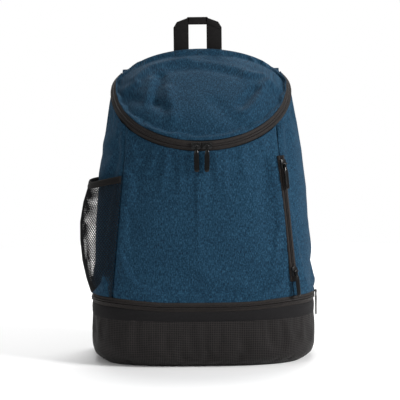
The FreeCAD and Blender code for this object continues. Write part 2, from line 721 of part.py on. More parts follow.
def mirrored(side, points):
    """Points of the right-hand outline, or their mirror images for the left."""
    sign = "" if side > 0 else "-"
    return [(f"{sign}({across})", up) for across, up in points]


def back_piece(name, label, points, near, thickness, rounding=None):
    """A flat piece behind the back: its outline, its nearest face and how thick it is."""
    pad = outline_pad(name, "XZ_Plane", points, f"-({near}) - ({thickness})", thickness, rounding)
    return keep(pad, label)


BACK = "body_depth/2"
STRAP_NEAR = "body_depth/2 + pad_thickness + strap_swing_gap"
STRAP_FAR = f"{STRAP_NEAR} + strap_thickness"
lumbar_points = [("-lumbar_half", "lumbar_low"), ("lumbar_half", "lumbar_low"),
                 ("lumbar_half", "lumbar_low + 8"), ("lumbar_top_half", "lumbar_high"),
                 ("-lumbar_top_half", "lumbar_high"), ("-lumbar_half", "lumbar_low + 8")]
back_piece("LumbarPad", "lumbar_pad", lumbar_points, BACK, "pad_thickness", "5")
yoke_points = [("-yoke_half", "yoke_low"), ("yoke_half", "yoke_low"),
               ("yoke_half - 8", "strap_top_height + 8"), ("8 - yoke_half", "strap_top_height + 8")]
back_piece("StrapYoke", "strap_yoke", yoke_points, BACK, "pad_thickness", "8")


def ladder_lock(side, hand):
    """A flat buckle with two slots, on the end of the strap's webbing."""
    low = "strap_hem_height - 16 - lock_height"
    middle = "(web_inner + webbing/2)"

    def span(half):
        return f"{side}*({middle} - {side}*({half}))", f"{side}*({middle} + {side}*({half}))"

    blank = box("LockBlank" + hand, span("lock_width/2"),
                (f"{STRAP_FAR} - 3", f"{STRAP_FAR} - 3 + lock_thickness"), (low, f"{low} + lock_height + 2"))
    slots = [box("LockSlot" + hand + level, span("webbing/2 + 1"), (BACK, "body_depth"),
                 (f"{low} + {level}", f"{low} + {level} + lock_slot"))
             for level in ("lock_slot_low", "lock_slot_high")]
    keep(cut("LadderLock" + hand, blank, fuse("LockSlots" + hand, slots)), "ladder_lock_" + hand)


for side, hand in ((-1, "left"), (1, "right")):
    pad_points = [("pad_inner", "pad_low"), ("pad_outer", "pad_low"),
                  ("pad_outer", "pad_high - 15"), ("pad_inner", "pad_high")]
    back_piece("BackPad" + hand, "back_pad_" + hand, mirrored(side, pad_points), BACK, "pad_thickness", "14")
    strap_points = [("strap_inner", "strap_top_height - 4"),
                    ("strap_inner + strap_width + 2", "strap_top_height - 4"),
                    ("strap_waist_inner + strap_width + 6", "strap_waist_height"),
                    ("strap_waist_inner + strap_width + 4", "strap_hem_height"),
                    ("strap_hem_inner", "strap_hem_height"), ("strap_waist_inner", "strap_waist_height")]
    back_piece("StrapPad" + hand, "shoulder_strap_" + hand, mirrored(side, strap_points),
               STRAP_NEAR, "strap_thickness", "6")
    web_points = [("web_inner", "strap_hem_height - 14"), ("web_inner + webbing", "strap_hem_height - 14"),
                  ("web_inner + webbing", "strap_waist_height"), ("web_inner", "strap_waist_height")]
    back_piece("StrapWeb" + hand, "strap_webbing_upper_" + hand, mirrored(side, web_points),
               STRAP_FAR, "webbing_thickness")
    ladder_lock(side, hand)
    anchor_points = [("anchor_inner", "anchor_height - anchor_half_height"),
                     ("anchor_outer", "anchor_height - anchor_half_height"),
                     ("anchor_outer - 8", "anchor_height + anchor_half_height"),
                     ("anchor_inner + 2", "anchor_height + anchor_half_height")]
    back_piece("Anchor" + hand, "strap_anchor_" + hand, mirrored(side, anchor_points), BACK,
               "anchor_thickness")
    low_points = [("anchor_inner + 2", "anchor_height"), ("anchor_inner + 2 + webbing", "anchor_height"),
                  ("web_inner + webbing", "strap_hem_height - 50"), ("web_inner", "strap_hem_height - 50")]
    back_piece("StrapLow" + hand, "strap_webbing_lower_" + hand, mirrored(side, low_points),
               f"{BACK} + anchor_thickness", "webbing_thickness")

# ---------------------------------------------------------------- checks and files

doc.recompute()
failed = [thing.Label for thing in doc.Objects if "Invalid" in thing.State or "Error" in thing.State]
for piece in pieces:
    if piece.Shape.isNull() or not piece.Shape.isValid() or piece.Shape.Volume <= 0:
        failed.append(piece.Label)
        continue
    bounds = piece.Shape.BoundBox
    print(f"{piece.Label}: {len(piece.Shape.Solids)} solid, {piece.Shape.Volume:.0f} mm3, "
          f"x {bounds.XMin:.1f}..{bounds.XMax:.1f} y {bounds.YMin:.1f}..{bounds.YMax:.1f} "
          f"z {bounds.ZMin:.1f}..{bounds.ZMax:.1f}")
if failed:
    raise RuntimeError(f"These have no valid shape: {failed}")
os.makedirs("parts", exist_ok=True)
for piece in pieces:
    piece.Shape.exportStep(f"parts/{piece.Label}.step")
print(f"{len(pieces)} nodes")
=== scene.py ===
# %% [markdown]
# # A racket backpack, sewn in Blender
# The bag has three cloth bodies: a shoe base, the pack above it and a round lid. The CAD frame
# gives every joint, zip and buckle. This lesson sews the cloth over that frame, lays the zips
# into its seams, and hangs the pulls, the net and the straps.

# %% Load the frame
import json
import math

import bmesh
import bpy
import numpy as np
from mathutils import Matrix, Vector, noise


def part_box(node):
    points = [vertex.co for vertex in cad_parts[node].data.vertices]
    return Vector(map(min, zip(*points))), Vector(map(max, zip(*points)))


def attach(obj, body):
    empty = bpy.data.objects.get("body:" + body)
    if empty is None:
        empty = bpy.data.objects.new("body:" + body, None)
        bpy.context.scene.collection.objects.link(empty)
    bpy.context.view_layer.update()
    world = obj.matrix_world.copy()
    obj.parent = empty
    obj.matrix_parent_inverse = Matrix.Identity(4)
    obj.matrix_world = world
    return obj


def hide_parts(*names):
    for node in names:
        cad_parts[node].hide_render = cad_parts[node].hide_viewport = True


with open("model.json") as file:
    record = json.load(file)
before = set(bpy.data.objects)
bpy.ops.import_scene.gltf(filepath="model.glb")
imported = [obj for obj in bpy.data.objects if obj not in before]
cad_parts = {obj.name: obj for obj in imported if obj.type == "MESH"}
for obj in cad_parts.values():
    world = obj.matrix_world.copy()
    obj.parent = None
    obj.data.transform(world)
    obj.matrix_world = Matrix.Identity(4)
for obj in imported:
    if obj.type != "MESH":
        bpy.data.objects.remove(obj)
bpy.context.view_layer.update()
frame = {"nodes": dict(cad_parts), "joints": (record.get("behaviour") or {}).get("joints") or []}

MM = 0.001
joints = {joint["name"]: joint for joint in frame["joints"]}


def joint_place(name):
    return np.array(joints[name]["pos_m"])


def joint_axis(name):
    return np.array(joints[name]["axis"])


# %% [markdown]
# ## The outline of the bag
# A stuffed bag has no flat walls. Every level cut through it is a rounded oblong, which turns
# into a circle at the lid's zip, and the cuts lean further back the higher they are. One formula
# gives them all, so panels, zips and pocket can share it and meet exactly.

# %% Driving sizes, read from the frame where it has them
HALF_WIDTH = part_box("base_right_wall")[1][0]
BACK_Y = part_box("back_panel")[1][1]
ZIP_Z = joints["pack_tilt"]["pos_m"][2]
LID_CENTRE = joint_place("lid_slider_left_travel")
LID_AXIS = joint_axis("lid_slider_left_travel")
TILT = math.acos(LID_AXIS[2])
LID_SLOPE = np.array([0, math.cos(TILT), math.sin(TILT)])
LID_RADIUS = 125 * MM
LID_REAR = 80 * MM
LID_RISE = 33 * MM
HINGE_Y = joints["lid_hinge"]["pos_m"][1]
LID_BACK_Z = LID_CENTRE[2] + math.tan(TILT) * (BACK_Y - LID_CENTRE[1])
SEAM_LOW = 129 * MM
SEAM_HIGH = 105 * MM
TAPE = 6.5 * MM
TUCK = 0.6 * MM
# How the outline changes on its way up, from the base zip to the lid zip.
FOOT_BACK, FOOT_REAR = 60 * MM, 120 * MM
FOOT_SQUARENESS = 3.2
NARROWING, LEANING = 2.8, 1.3
print("half width", round(HALF_WIDTH, 4), "back", round(BACK_Y, 4))
print("lid tilt", round(math.degrees(TILT), 1))


# %% A point on the skin
def lerp(low, high, share):
    return low + (high - low) * share


def skin(share, turn, out=0.0):
    """Points on the pack: share is the way up (0 base zip, 1 lid zip), turn runs from the front."""
    share, turn = np.broadcast_arrays(np.asarray(share, float), np.asarray(turn, float))
    safe = np.maximum(share, 0)
    tilt = TILT * share
    axis_back = lerp(FOOT_BACK, (BACK_Y - LID_CENTRE[1]) / math.cos(TILT), share)
    height = lerp(ZIP_Z, LID_BACK_Z, share)
    centre_y = BACK_Y - axis_back * np.cos(tilt)
    centre_z = height - axis_back * np.sin(tilt)
    half = HALF_WIDTH - (HALF_WIDTH - LID_RADIUS) * safe ** NARROWING
    rim_y = LID_CENTRE[1] - LID_RADIUS * math.cos(TILT)
    front = (centre_y - lerp(-BACK_Y, rim_y, safe ** LEANING)) / np.cos(tilt)
    rear = lerp(FOOT_REAR, LID_REAR, share)
    power = lerp(FOOT_SQUARENESS, 2.0, np.minimum(share, 1))
    across, along = np.sin(turn), -np.cos(turn)
    roundness = (np.abs(across) ** power + np.abs(along) ** power) ** (1 / power)
    depth = np.where(along < 0, front, rear)
    x = (half + out) * across / roundness
    y = (depth + out) * along / roundness
    return np.stack([x, centre_y + y * np.cos(tilt), centre_z + y * np.sin(tilt)], axis=-1)


def solve(measure, low, high, rounds=40):
    """Bisection on arrays: where measure turns from negative to positive."""
    low, high = np.array(low, float), np.array(high, float)
    for _ in range(rounds):
        middle = (low + high) / 2
        above = measure(middle) > 0
        high = np.where(above, middle, high)
        low = np.where(above, low, middle)
    return (low + high) / 2


def ease(share):
    """A smooth step from 0 to 1."""
    share = np.clip(share, 0, 1)
    return share ** 2 * (3 - 2 * share)


CORNER_RISE = 5 * MM


def corner_rise(turn):
    """The stuffed bag's corners lift its base zip a little; the slider's straight side is level."""
    place = skin(0.0, turn)
    sideways = ease((np.abs(place[..., 0]) - 40 * MM) / (100 * MM))
    forward = ease((12 * MM - place[..., 1]) / (40 * MM))
    return CORNER_RISE * sideways * forward


def seam_turn(share):
    """How far round the front panel's seam lies, at each height."""
    share = np.asarray(share, float)
    reach = lerp(SEAM_LOW, SEAM_HIGH, share)
    return solve(lambda turn: skin(share, turn)[..., 0] - reach,
                 np.zeros_like(share), np.full_like(share, 1.5))


def back_turn(share):
    """How far round the back panel's edge lies."""
    share = np.asarray(share, float)
    return solve(lambda turn: skin(share, turn)[..., 1] - BACK_Y,
                 np.full_like(share, 1.2), np.full_like(share, 3.1))


print("seam at the foot", skin(0.0, seam_turn(0.0)).round(3), "back edge", skin(0.5, back_turn(0.5)).round(3))

# %% [markdown]
# ## Cloth as a sheet of squares
# Every panel starts as a grid of small squares, with its true size in metres kept as UVs. The
# weave of a material is drawn in those UVs, so threads run along the cut of the cloth.


# %% Sheets and sweeps
def put(name, data):
    """A new object in the scene."""
    piece = bpy.data.objects.new(name, data)
    bpy.context.scene.collection.objects.link(piece)
    return piece


def vertex_places(piece):
    return np.array([vertex.co for vertex in piece.data.vertices])


def move_vertices(piece, places):
    piece.data.vertices.foreach_set("co", places.ravel())
    piece.data.update()


def mesh_object(name, points, faces, uvs=None, smooth=True):
    mesh = bpy.data.meshes.new(name)
    mesh.from_pydata([tuple(point) for point in points], [], faces)
    if uvs is not None:
        layer = mesh.uv_layers.new(name="cloth")
        flat = np.asarray(uvs)[[loop.vertex_index for loop in mesh.loops]]
        layer.data.foreach_set("uv", flat.ravel())
    mesh.polygons.foreach_set("use_smooth", [smooth] * len(mesh.polygons))
    mesh.update()
    return put(name, mesh)


def lengths_along(points, axis):
    steps = np.linalg.norm(np.diff(points, axis=axis), axis=-1)
    start = np.zeros_like(np.take(steps, [0], axis=axis))
    return np.concatenate([start, np.cumsum(steps, axis=axis)], axis=axis)


def cloth_sheet(name, points):
    """A sheet from a rows by columns array of points, with UVs in metres."""
    rows, columns = points.shape[:2]
    across = lengths_along(points, 1)
    across = across - across[:, columns // 2, None]
    up = lengths_along(points, 0)
    faces = []
    for row in range(rows - 1):
        for column in range(columns - 1):
            corner = row * columns + column
            faces.append((corner, corner + 1, corner + columns + 1, corner + columns))
    uvs = np.stack([across, up], axis=-1).reshape(-1, 2)
    return mesh_object(name, points.reshape(-1, 3), faces, uvs)


def strip(name, place, stations, profile):
    """A closed profile of (height, out) pairs swept through the stations of a seam."""
    count = len(profile)
    rings = np.array([[place(station, height, out) for height, out in profile] for station in stations])
    run = lengths_along(rings, 0)[:, 0]
    girth = lengths_along(rings[0], 0)
    uvs = [(along, around) for along in run for around in girth]
    return closed_solid(name, rings.reshape(-1, 3), ring_faces(len(stations), count), uvs)


def ring_faces(rings, count):
    """Faces of a tube of rings, with a cap at each end."""
    faces = []
    for ring in range(rings - 1):
        for corner in range(count):
            after = (corner + 1) % count
            faces.append((ring * count + corner, ring * count + after,
                          (ring + 1) * count + after, (ring + 1) * count + corner))
    faces.append(tuple(range(count))[::-1])
    faces.append(tuple((rings - 1) * count + corner for corner in range(count)))
    return faces


def closed_solid(name, points, faces, uvs=None):
    piece = mesh_object(name, points, faces, uvs)
    shape = bmesh.new()
    shape.from_mesh(piece.data)
    bmesh.ops.recalc_face_normals(shape, faces=shape.faces)
    shape.to_mesh(piece.data)
    shape.free()
    return piece


def thicken(piece, depth):
    layer = piece.modifiers.new("thickness", "SOLIDIFY")
    layer.thickness = depth
    layer.offset = -1.0


def soften(piece):
    layer = piece.modifiers.new("smooth", "SUBSURF")
    layer.levels = layer.render_levels = 1


# %% Wearing a finish and joining a body
def wear(piece, material):
    piece.data.materials.clear()
    piece.data.materials.append(material)


def dress(piece, material, body, slot_name, *replaced):
    """Gives a piece its finish, the body that it rides and the CAD parts that it stands for."""
    wear(piece, material)
    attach(piece, body)
    if replaced:
        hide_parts(*replaced)


# %% [markdown]
# ## Finishes
# The blue cloth is a melange: dark and light threads are spun together, so it has short upright
# slubs instead of one even blue. Black cloths differ mostly in how they catch light: the base is
# a net-faced ripstop with a fine square grid, webbing is ribbed, and the pulls are glossy.


# %% Node helpers
def blank_material(name, colour, roughness, sheen=0.0, gloss=0.15):
    material = bpy.data.materials.new(name)
    material.use_nodes = True
    shader = material.node_tree.nodes["Principled BSDF"]
    shader.inputs["Base Color"].default_value = (*colour, 1)
    shader.inputs["Roughness"].default_value = roughness
    shader.inputs["Sheen Weight"].default_value = sheen
    shader.inputs["Sheen Roughness"].default_value = 0.5
    shader.inputs["Specular IOR Level"].default_value = gloss
    return material, material.node_tree, shader


def stretched(tree, source, scale):
    mapping = tree.nodes.new("ShaderNodeMapping")
    mapping.inputs["Scale"].default_value = scale
    tree.links.new(source, mapping.inputs["Vector"])
    return mapping.outputs["Vector"]


def cloth_coordinates(tree, by_uv=True):
    if by_uv:
        uv = tree.nodes.new("ShaderNodeUVMap")
        uv.uv_map = "cloth"
        return uv.outputs["UV"]
    return tree.nodes.new("ShaderNodeTexCoord").outputs["Object"]


def ribs(tree, source, pitch, direction):
    wave = tree.nodes.new("ShaderNodeTexWave")
    wave.wave_type = "BANDS"
    wave.bands_direction = direction
    wave.wave_profile = "SIN"
    wave.inputs["Scale"].default_value = 2 * math.pi / 20 / pitch
    tree.links.new(source, wave.inputs["Vector"])
    return wave.outputs["Fac"]


def speckle(tree, source, scale, detail, roughness=0.5):
    grain = tree.nodes.new("ShaderNodeTexNoise")
    grain.inputs["Scale"].default_value = scale
    grain.inputs["Detail"].default_value = detail
    grain.inputs["Roughness"].default_value = roughness
    tree.links.new(source, grain.inputs["Vector"])
    return grain.outputs["Fac"]


def combine(tree, first, second, operation="MULTIPLY"):
    node = tree.nodes.new("ShaderNodeMath")
    node.operation = operation
    for socket, value in zip(node.inputs, (first, second)):
        if isinstance(value, (int, float)):
            socket.default_value = value
        else:
            tree.links.new(value, socket)
    return node.outputs[0]


def weave_of(tree, cut, pitch, upright):
    return combine(tree, ribs(tree, cut, pitch, "X"), ribs(tree, cut, pitch, upright))


def tint(tree, fac, stops):
    ramp = tree.nodes.new("ShaderNodeValToRGB")
    while len(ramp.color_ramp.elements) < len(stops):
        ramp.color_ramp.elements.new(0.5)
    for element, (position, colour) in zip(ramp.color_ramp.elements, stops):
        element.position = position
        element.color = (*colour, 1)
    tree.links.new(fac, ramp.inputs["Fac"])
    return ramp.outputs["Color"]


def emboss(tree, shader, height, depth, strength, below=None):
    bump = tree.nodes.new("ShaderNodeBump")
    bump.inputs["Distance"].default_value = depth
    bump.inputs["Strength"].default_value = strength
    tree.links.new(height, bump.inputs["Height"])
    if below is not None:
        tree.links.new(below, bump.inputs["Normal"])
    tree.links.new(bump.outputs["Normal"], shader.inputs["Normal"])
    return bump.outputs["Normal"]


# %% Melange cloth
BLUE_DARK = (0.001, 0.009, 0.022)
BLUE = (0.004, 0.028, 0.056)
BLUE_LIGHT = (0.020, 0.070, 0.120)


def melange_cloth():
    material, tree, shader = blank_material("blue_melange", BLUE, 0.85, 0.04)
    shader.inputs["Sheen Tint"].default_value = (0.35, 0.55, 0.8, 1)
    cut = cloth_coordinates(tree)
    slubs = speckle(tree, stretched(tree, cut, (1.0, 0.22, 1.0)), 1250, 3, 0.6)
    streaks = speckle(tree, stretched(tree, cut, (1.0, 0.25, 1.0)), 520, 2)
    cross = speckle(tree, stretched(tree, cut, (0.22, 1.0, 1.0)), 900, 2)
    patches = speckle(tree, cut, 22, 2)
    mixed = combine(tree, slubs, 0.55)
    for thread, share in ((streaks, 0.20), (cross, 0.20), (patches, 0.05)):
        mixed = combine(tree, mixed, combine(tree, thread, share), "ADD")
    tree.links.new(tint(tree, mixed, [(0.40, BLUE_DARK), (0.50, BLUE), (0.61, BLUE_LIGHT)]),
              shader.inputs["Base Color"])
    weave = weave_of(tree, cut, 0.9 * MM, "Y")
    soft = speckle(tree, cut, 45, 3, 0.55)
    below = emboss(tree, shader, soft, 1.2 * MM, 0.55)
    emboss(tree, shader, combine(tree, weave, slubs, "ADD"), 0.22 * MM, 0.6, below)
    return material


melange = melange_cloth()


# %% Black cloths, webbing and lining
def woven_black(name, colour, pitch, depth, roughness=0.8, by_uv=True):
    material, tree, shader = blank_material(name, colour, roughness, 0.02)
    cut = cloth_coordinates(tree, by_uv)
    weave = weave_of(tree, cut, pitch, "Y" if by_uv else "Z")
    lint = speckle(tree, cut, 320, 2)
    lighter = tuple(channel * 2.0 for channel in colour)
    darker = tuple(channel * 0.6 for channel in colour)
    tree.links.new(tint(tree, combine(tree, lint, weave, "ADD"),
                   [(0.3, darker), (0.9, colour), (1.4, lighter)]), shader.inputs["Base Color"])
    emboss(tree, shader, weave, depth, 0.7)
    return material


def square_grid_cloth():
    """Net-faced cloth: fine bright cords in squares over a dark ground."""
    ground, cord = (0.002, 0.0018, 0.002), (0.034, 0.029, 0.028)
    material, tree, shader = blank_material("base_ripstop", ground, 0.6, 0.02)
    cut = cloth_coordinates(tree)
    square = 2.5 * MM
    raised = combine(tree, ribs(tree, cut, square, "X"), ribs(tree, cut, square, "Y"), "MAXIMUM")
    cords = combine(tree, raised, 9.0, "POWER")
    patches = combine(tree, combine(tree, speckle(tree, cut, 14, 2), 0.8), 0.35, "ADD")
    shade = combine(tree, cords, patches)
    tree.links.new(tint(tree, shade, [(0.08, ground), (0.7, cord)]), shader.inputs["Base Color"])
    emboss(tree, shader, cords, 0.5 * MM, 0.8)
    return material


base_cloth = square_grid_cloth()
smooth_black = woven_black("smooth_black", (0.006, 0.0055, 0.006), 0.8 * MM, 0.12 * MM)
WEBBING = ((0.006, 0.0052, 0.0052), 1.6 * MM, 0.35 * MM)
webbing_black = woven_black("webbing_black", *WEBBING)
tape_brown = woven_black("tape_brown", (0.015, 0.0125, 0.0115), 0.7 * MM, 0.15 * MM, 0.7)
coil_brown = woven_black("coil_brown", (0.011, 0.009, 0.0085), 1.5 * MM, 0.4 * MM, 0.5)
lining_cloth = woven_black("lining_cloth", (0.030, 0.033, 0.038), 0.9 * MM, 0.12 * MM, 0.75, by_uv=False)
spacer_mesh = woven_black("spacer_mesh", (0.013, 0.013, 0.014), 2.6 * MM, 0.7 * MM, 0.85, by_uv=False)
net_cord = woven_black("net_cord", (0.005, 0.005, 0.006), 0.6 * MM, 0.08 * MM, 0.6, by_uv=False)


# %% Moulded and painted finishes
def moulded(name, colour, roughness, coat=0.0, grain=0.03 * MM, gloss=0.3):
    material, tree, shader = blank_material(name, colour, roughness, gloss=gloss)
    shader.inputs["Coat Weight"].default_value = coat
    shader.inputs["Coat Roughness"].default_value = 0.08
    where = cloth_coordinates(tree, by_uv=False)
    smudges = speckle(tree, where, 500, 3)
    tree.links.new(tint(tree, smudges, [(0.35, colour), (0.75, tuple(c * 1.7 for c in colour))]),
              shader.inputs["Base Color"])
    emboss(tree, shader, smudges, grain, 0.5)
    return material


pull_gloss = moulded("pull_gloss", (0.002, 0.002, 0.002), 0.3, 0.35, 0.01 * MM, 0.06)
pull_rubber = moulded("pull_rubber", (0.006, 0.006, 0.006), 0.7, gloss=0.05)
slider_paint = moulded("slider_paint", (0.004, 0.004, 0.004), 0.3, 0.3, gloss=0.15)
slider_paint.node_tree.nodes["Principled BSDF"].inputs["Metallic"].default_value = 0.2
lock_plastic = moulded("lock_plastic", (0.012, 0.012, 0.013), 0.42, 0.1)
board_plastic = moulded("board_plastic", (0.03, 0.03, 0.032), 0.6)
print("materials", len(bpy.data.materials))

# %% [markdown]
# ## Letting cloth settle
# A sewn panel is a little larger than the gap that it spans, so it puckers between its seams.
# Blender's Cloth does this well if the seams are pinned, the cloth is made slightly slack and a
# light pressure stands for what the bag holds. The result is capped, so no point wanders.


# %% Cloth settings
def pin_edges(piece, rows, columns):
    group = piece.vertex_groups.new(name="seam")
    for row in range(rows):
        for column in range(columns):
            inset = min(row, rows - 1 - row, column, columns - 1 - column)
            weight = 1.0 if inset < 1 else max(0.0, 0.5 - 0.25 * (inset - 1))
            group.add([row * columns + column], weight, "REPLACE")


def settle(piece, pressure, slack, cap, frames=24, gravity=0.3):
    """Runs Cloth with the seams pinned and keeps the settled shape as the mesh."""
    before = vertex_places(piece)
    cloth = piece.modifiers.new("cloth", "CLOTH")
    settings = cloth.settings
    settings.quality = 5
    settings.mass = 0.2
    settings.tension_stiffness = 20
    settings.compression_stiffness = 20
    settings.shear_stiffness = 8
    settings.bending_stiffness = 0.4
    settings.air_damping = 2
    settings.vertex_group_mass = "seam"
    settings.use_pressure = True
    settings.uniform_pressure_force = pressure
    settings.shrink_min = -slack
    settings.effector_weights.gravity = gravity
    cloth.point_cache.frame_end = frames
    scene = bpy.context.scene
    for number in range(1, frames + 1):
        scene.frame_set(number)
    after = vertex_places(piece.evaluated_get(bpy.context.evaluated_depsgraph_get()))
    piece.modifiers.remove(cloth)
    scene.frame_set(1)
    moved = after - before
    length = np.linalg.norm(moved, axis=1, keepdims=True)
    moved *= np.minimum(1, cap / np.maximum(length, 1e-9))
    move_vertices(piece, before + moved)
    return float(length.max())


def vertex_normals(piece):
    piece.data.update()
    return np.array([vertex.normal for vertex in piece.data.vertices])


CLOTH_STEP = 4 * MM


def pucker(piece, rows, columns, reach, depth, pitch, seed):
    """Small gathers that fade away from the seams, and a slow swell in the middle of the panel."""
    normals, points = vertex_normals(piece), vertex_places(piece)
    for row in range(rows):
        for column in range(columns):
            index = row * columns + column
            spot = Vector(points[index])
            edge = min(row, rows - 1 - row) * CLOTH_STEP
            gather = noise.noise(Vector((spot.x / pitch, seed, spot.y / pitch)))
            fade = math.exp(-edge / reach) * (1 - math.exp(-edge / (0.2 * reach)))
            swell = noise.noise(spot / (5.5 * pitch) + Vector((seed, 0, 0)))
            side = min(column, columns - 1 - column) * CLOTH_STEP
            inner = min(1.0, min(edge, side) / (12 * MM))
            points[index] += normals[index] * (depth * 2.2 * gather * fade + depth * 0.9 * swell * inner)
    move_vertices(piece, points)


def press_folds(piece, flat, folds):
    """Raises ridges and sinks valleys. A fold has a rise, a width and a line, all in millimetres."""
    normals, points = vertex_normals(piece), vertex_places(piece)
    for rise, width, line in folds:
        nearest = np.full(len(points), 1.0)
        for start, end in zip(np.array(line[:-1]) * MM, np.array(line[1:]) * MM):
            run = end - start
            along = np.clip((flat - start) @ run / (run @ run), 0, 1)
            gap = np.linalg.norm(flat - start - np.multiply.outer(along, run), axis=1)
            nearest = np.minimum(nearest, gap)
        points += normals * (rise * MM * np.exp(-(nearest / (width * MM)) ** 2))[:, None]
    move_vertices(piece, points)


# %% [markdown]
# ## Front panel and side gussets
# Three panels make the pack's outside. They meet at the two front seams, where each one dips
# into the seam by a millimetre or so, as turned-in edges do. Their first and last rows tuck just
# under the tapes of the two zips. The large folds are pressed in last.

# %% Rows and columns of the three panels
CLOTH_OUT = 1.3 * MM
CLOTH_THICK = 1.4 * MM
SEAM_DIP, SEAM_REACH = 1.6 * MM, 2.5 * MM


def lid_height(points):
    """Height over the lid zip's plane."""
    return (points - LID_CENTRE) @ LID_AXIS


def panel_points(low_turn, high_turn, rows, columns):
    """A panel between two seams, trimmed to both zips."""
    ways = np.linspace(0, 1, columns)

    def turn_at(share):
        return lerp(low_turn(share), high_turn(share), ways)

    foot = solve(lambda share: skin(share, turn_at(share))[..., 2] - corner_rise(turn_at(0.0))
                 - (ZIP_Z + TAPE - TUCK), np.full(columns, -0.05), np.full(columns, 0.4))
    head = solve(lambda share: lid_height(skin(share, turn_at(share))) + (TAPE - TUCK) * math.cos(TILT),
                 np.full(columns, 0.5), np.full(columns, 1.05))
    grid = []
    for up in np.linspace(0, 1, rows):
        share = lerp(foot, head, up)
        edge = np.minimum(ways, 1 - ways) * columns * CLOTH_STEP
        dip = -SEAM_DIP * np.exp(-edge / SEAM_REACH)
        grid.append(skin(share, turn_at(share), CLOTH_OUT + dip))
    return np.array(grid)


# The pocket zip is straight, so the bulging cloth is pressed down into a bed beneath it.
pocket_up = joint_axis("pocket_slider_lower_travel")
pocket_across = joint_axis("pocket_pull_lower_swing")
pocket_out = np.cross(pocket_up, pocket_across)
pocket_foot = joint_place("pocket_slider_lower_travel")
pocket_start = pocket_foot - 14 * MM * pocket_up
pocket_length = (joint_place("pocket_slider_upper_travel") - pocket_foot) @ pocket_up + 26 * MM
BED_HALF, BED_TOP, BED_EDGE, BED_PAST, BED_END = 8 * MM, 0.4 * MM, 3 * MM, 6 * MM, 4 * MM


def bed_pocket_zip(piece):
    places = vertex_places(piece)
    run, side, out = ((places - pocket_start) @ axis for axis in (pocket_up, pocket_across, pocket_out))
    beside = np.clip((BED_HALF + BED_EDGE - np.abs(side)) / BED_EDGE, 0, 1)
    within = np.clip((run + BED_PAST) / BED_END, 0, 1)
    within = within * np.clip((pocket_length + BED_PAST - run) / BED_END, 0, 1)
    places -= np.multiply.outer(np.maximum(out - BED_TOP, 0) * beside * within, pocket_out)
    move_vertices(piece, places)


def sew_panel(name, low_turn, high_turn, rows, columns, seed, replaced, folds):
    piece = cloth_sheet(name, panel_points(low_turn, high_turn, rows, columns))
    pucker(piece, rows, columns, 12 * MM, 0.9 * MM, 9 * MM, seed)
    pin_edges(piece, rows, columns)
    moved = settle(piece, pressure=0.6, slack=0.02, cap=5 * MM)
    press_folds(piece, vertex_places(piece)[:, (0, 2)], folds)
    bed_pocket_zip(piece)
    thicken(piece, CLOTH_THICK)
    soften(piece)
    dress(piece, melange, "pack", "blue_melange", replaced)
    print(name, "moved up to", round(moved * 1000, 1), "mm")


FRONT_FOLDS = [
    (2.3, 6.9, [(-104, 330), (-92, 300)]), (-1.9, 5.8, [(-98, 328), (-86, 306)]),
    (1.9, 8.0, [(60, 112), (78, 100), (96, 112)]), (-2.3, 6.9, [(-60, 106), (-38, 98), (-16, 108)]),
    (1.7, 9.2, [(-20, 150), (14, 128), (52, 118)]), (-1.5, 8.0, [(92, 300), (84, 250), (90, 190)])]
LEFT_FOLDS = [
    (3.0, 6.9, [(-111, 338), (-121, 318), (-133, 306)]),
    (-2.7, 5.8, [(-113, 330), (-124, 304), (-138, 290)]),
    (2.5, 6.9, [(-114, 322), (-127, 288), (-141, 262)]),
    (-2.1, 6.9, [(-116, 306), (-128, 270), (-143, 240)])]
RIGHT_FOLDS = [
    (-3.8, 4.6, [(107, 334), (116, 342), (122, 338)]), (2.5, 6.9, [(109, 326), (120, 330), (130, 318)]),
    (-1.9, 6.9, [(133, 320), (141, 270), (147, 200)]), (1.9, 8.0, [(128, 330), (137, 290), (143, 240)])]
sew_panel("front_panel_cloth", lambda share: -seam_turn(share), seam_turn, 58, 64, 3.1, "front_panel",
          FRONT_FOLDS)
sew_panel("right_gusset_cloth", seam_turn, back_turn, 68, 40, 7.7, "right_gusset", RIGHT_FOLDS)
sew_panel("left_gusset_cloth", lambda share: -back_turn(share), lambda share: -seam_turn(share), 68, 40, 5.3,
          "left_gusset", LEFT_FOLDS)

# %% [markdown]
# ## The lid
# The lid is a shallow crown over the zip's circle, cut off straight where it is hinged. Each
# column of the sheet climbs from the zip's rim over the crown to that hinge line. The cloth is
# slacker here and has the deepest folds. Behind the hinge, the top gusset closes the pack.


# %% The crown's shape
CROWN_POWER = 0.65


def lid_point(across, along, out=0.0):
    """A point on the crown, over a place in the lid's own plane."""
    squeeze = np.where(along > 0, LID_RADIUS / LID_REAR, 1.0)
    share = np.clip(np.hypot(across, along * squeeze) / LID_RADIUS, 0, 1)
    rise = (LID_RISE + out) * (1 - share ** 3) ** CROWN_POWER
    return (LID_CENTRE + np.multiply.outer(across, [1, 0, 0]) + np.multiply.outer(along, LID_SLOPE)
            + np.multiply.outer(rise, LID_AXIS))


def crown_reach(height):
    """How far in from the rim the crown stands at this height."""
    return LID_RADIUS * (1 - (height / LID_RISE) ** (1 / CROWN_POWER)) ** (1 / 3)


def along_at_y(across, y):
    """Where the crown passes a given distance back."""
    return solve(lambda along: lid_point(across, along)[..., 1] - y, np.full_like(across, -60 * MM),
                 np.full_like(across, LID_REAR))


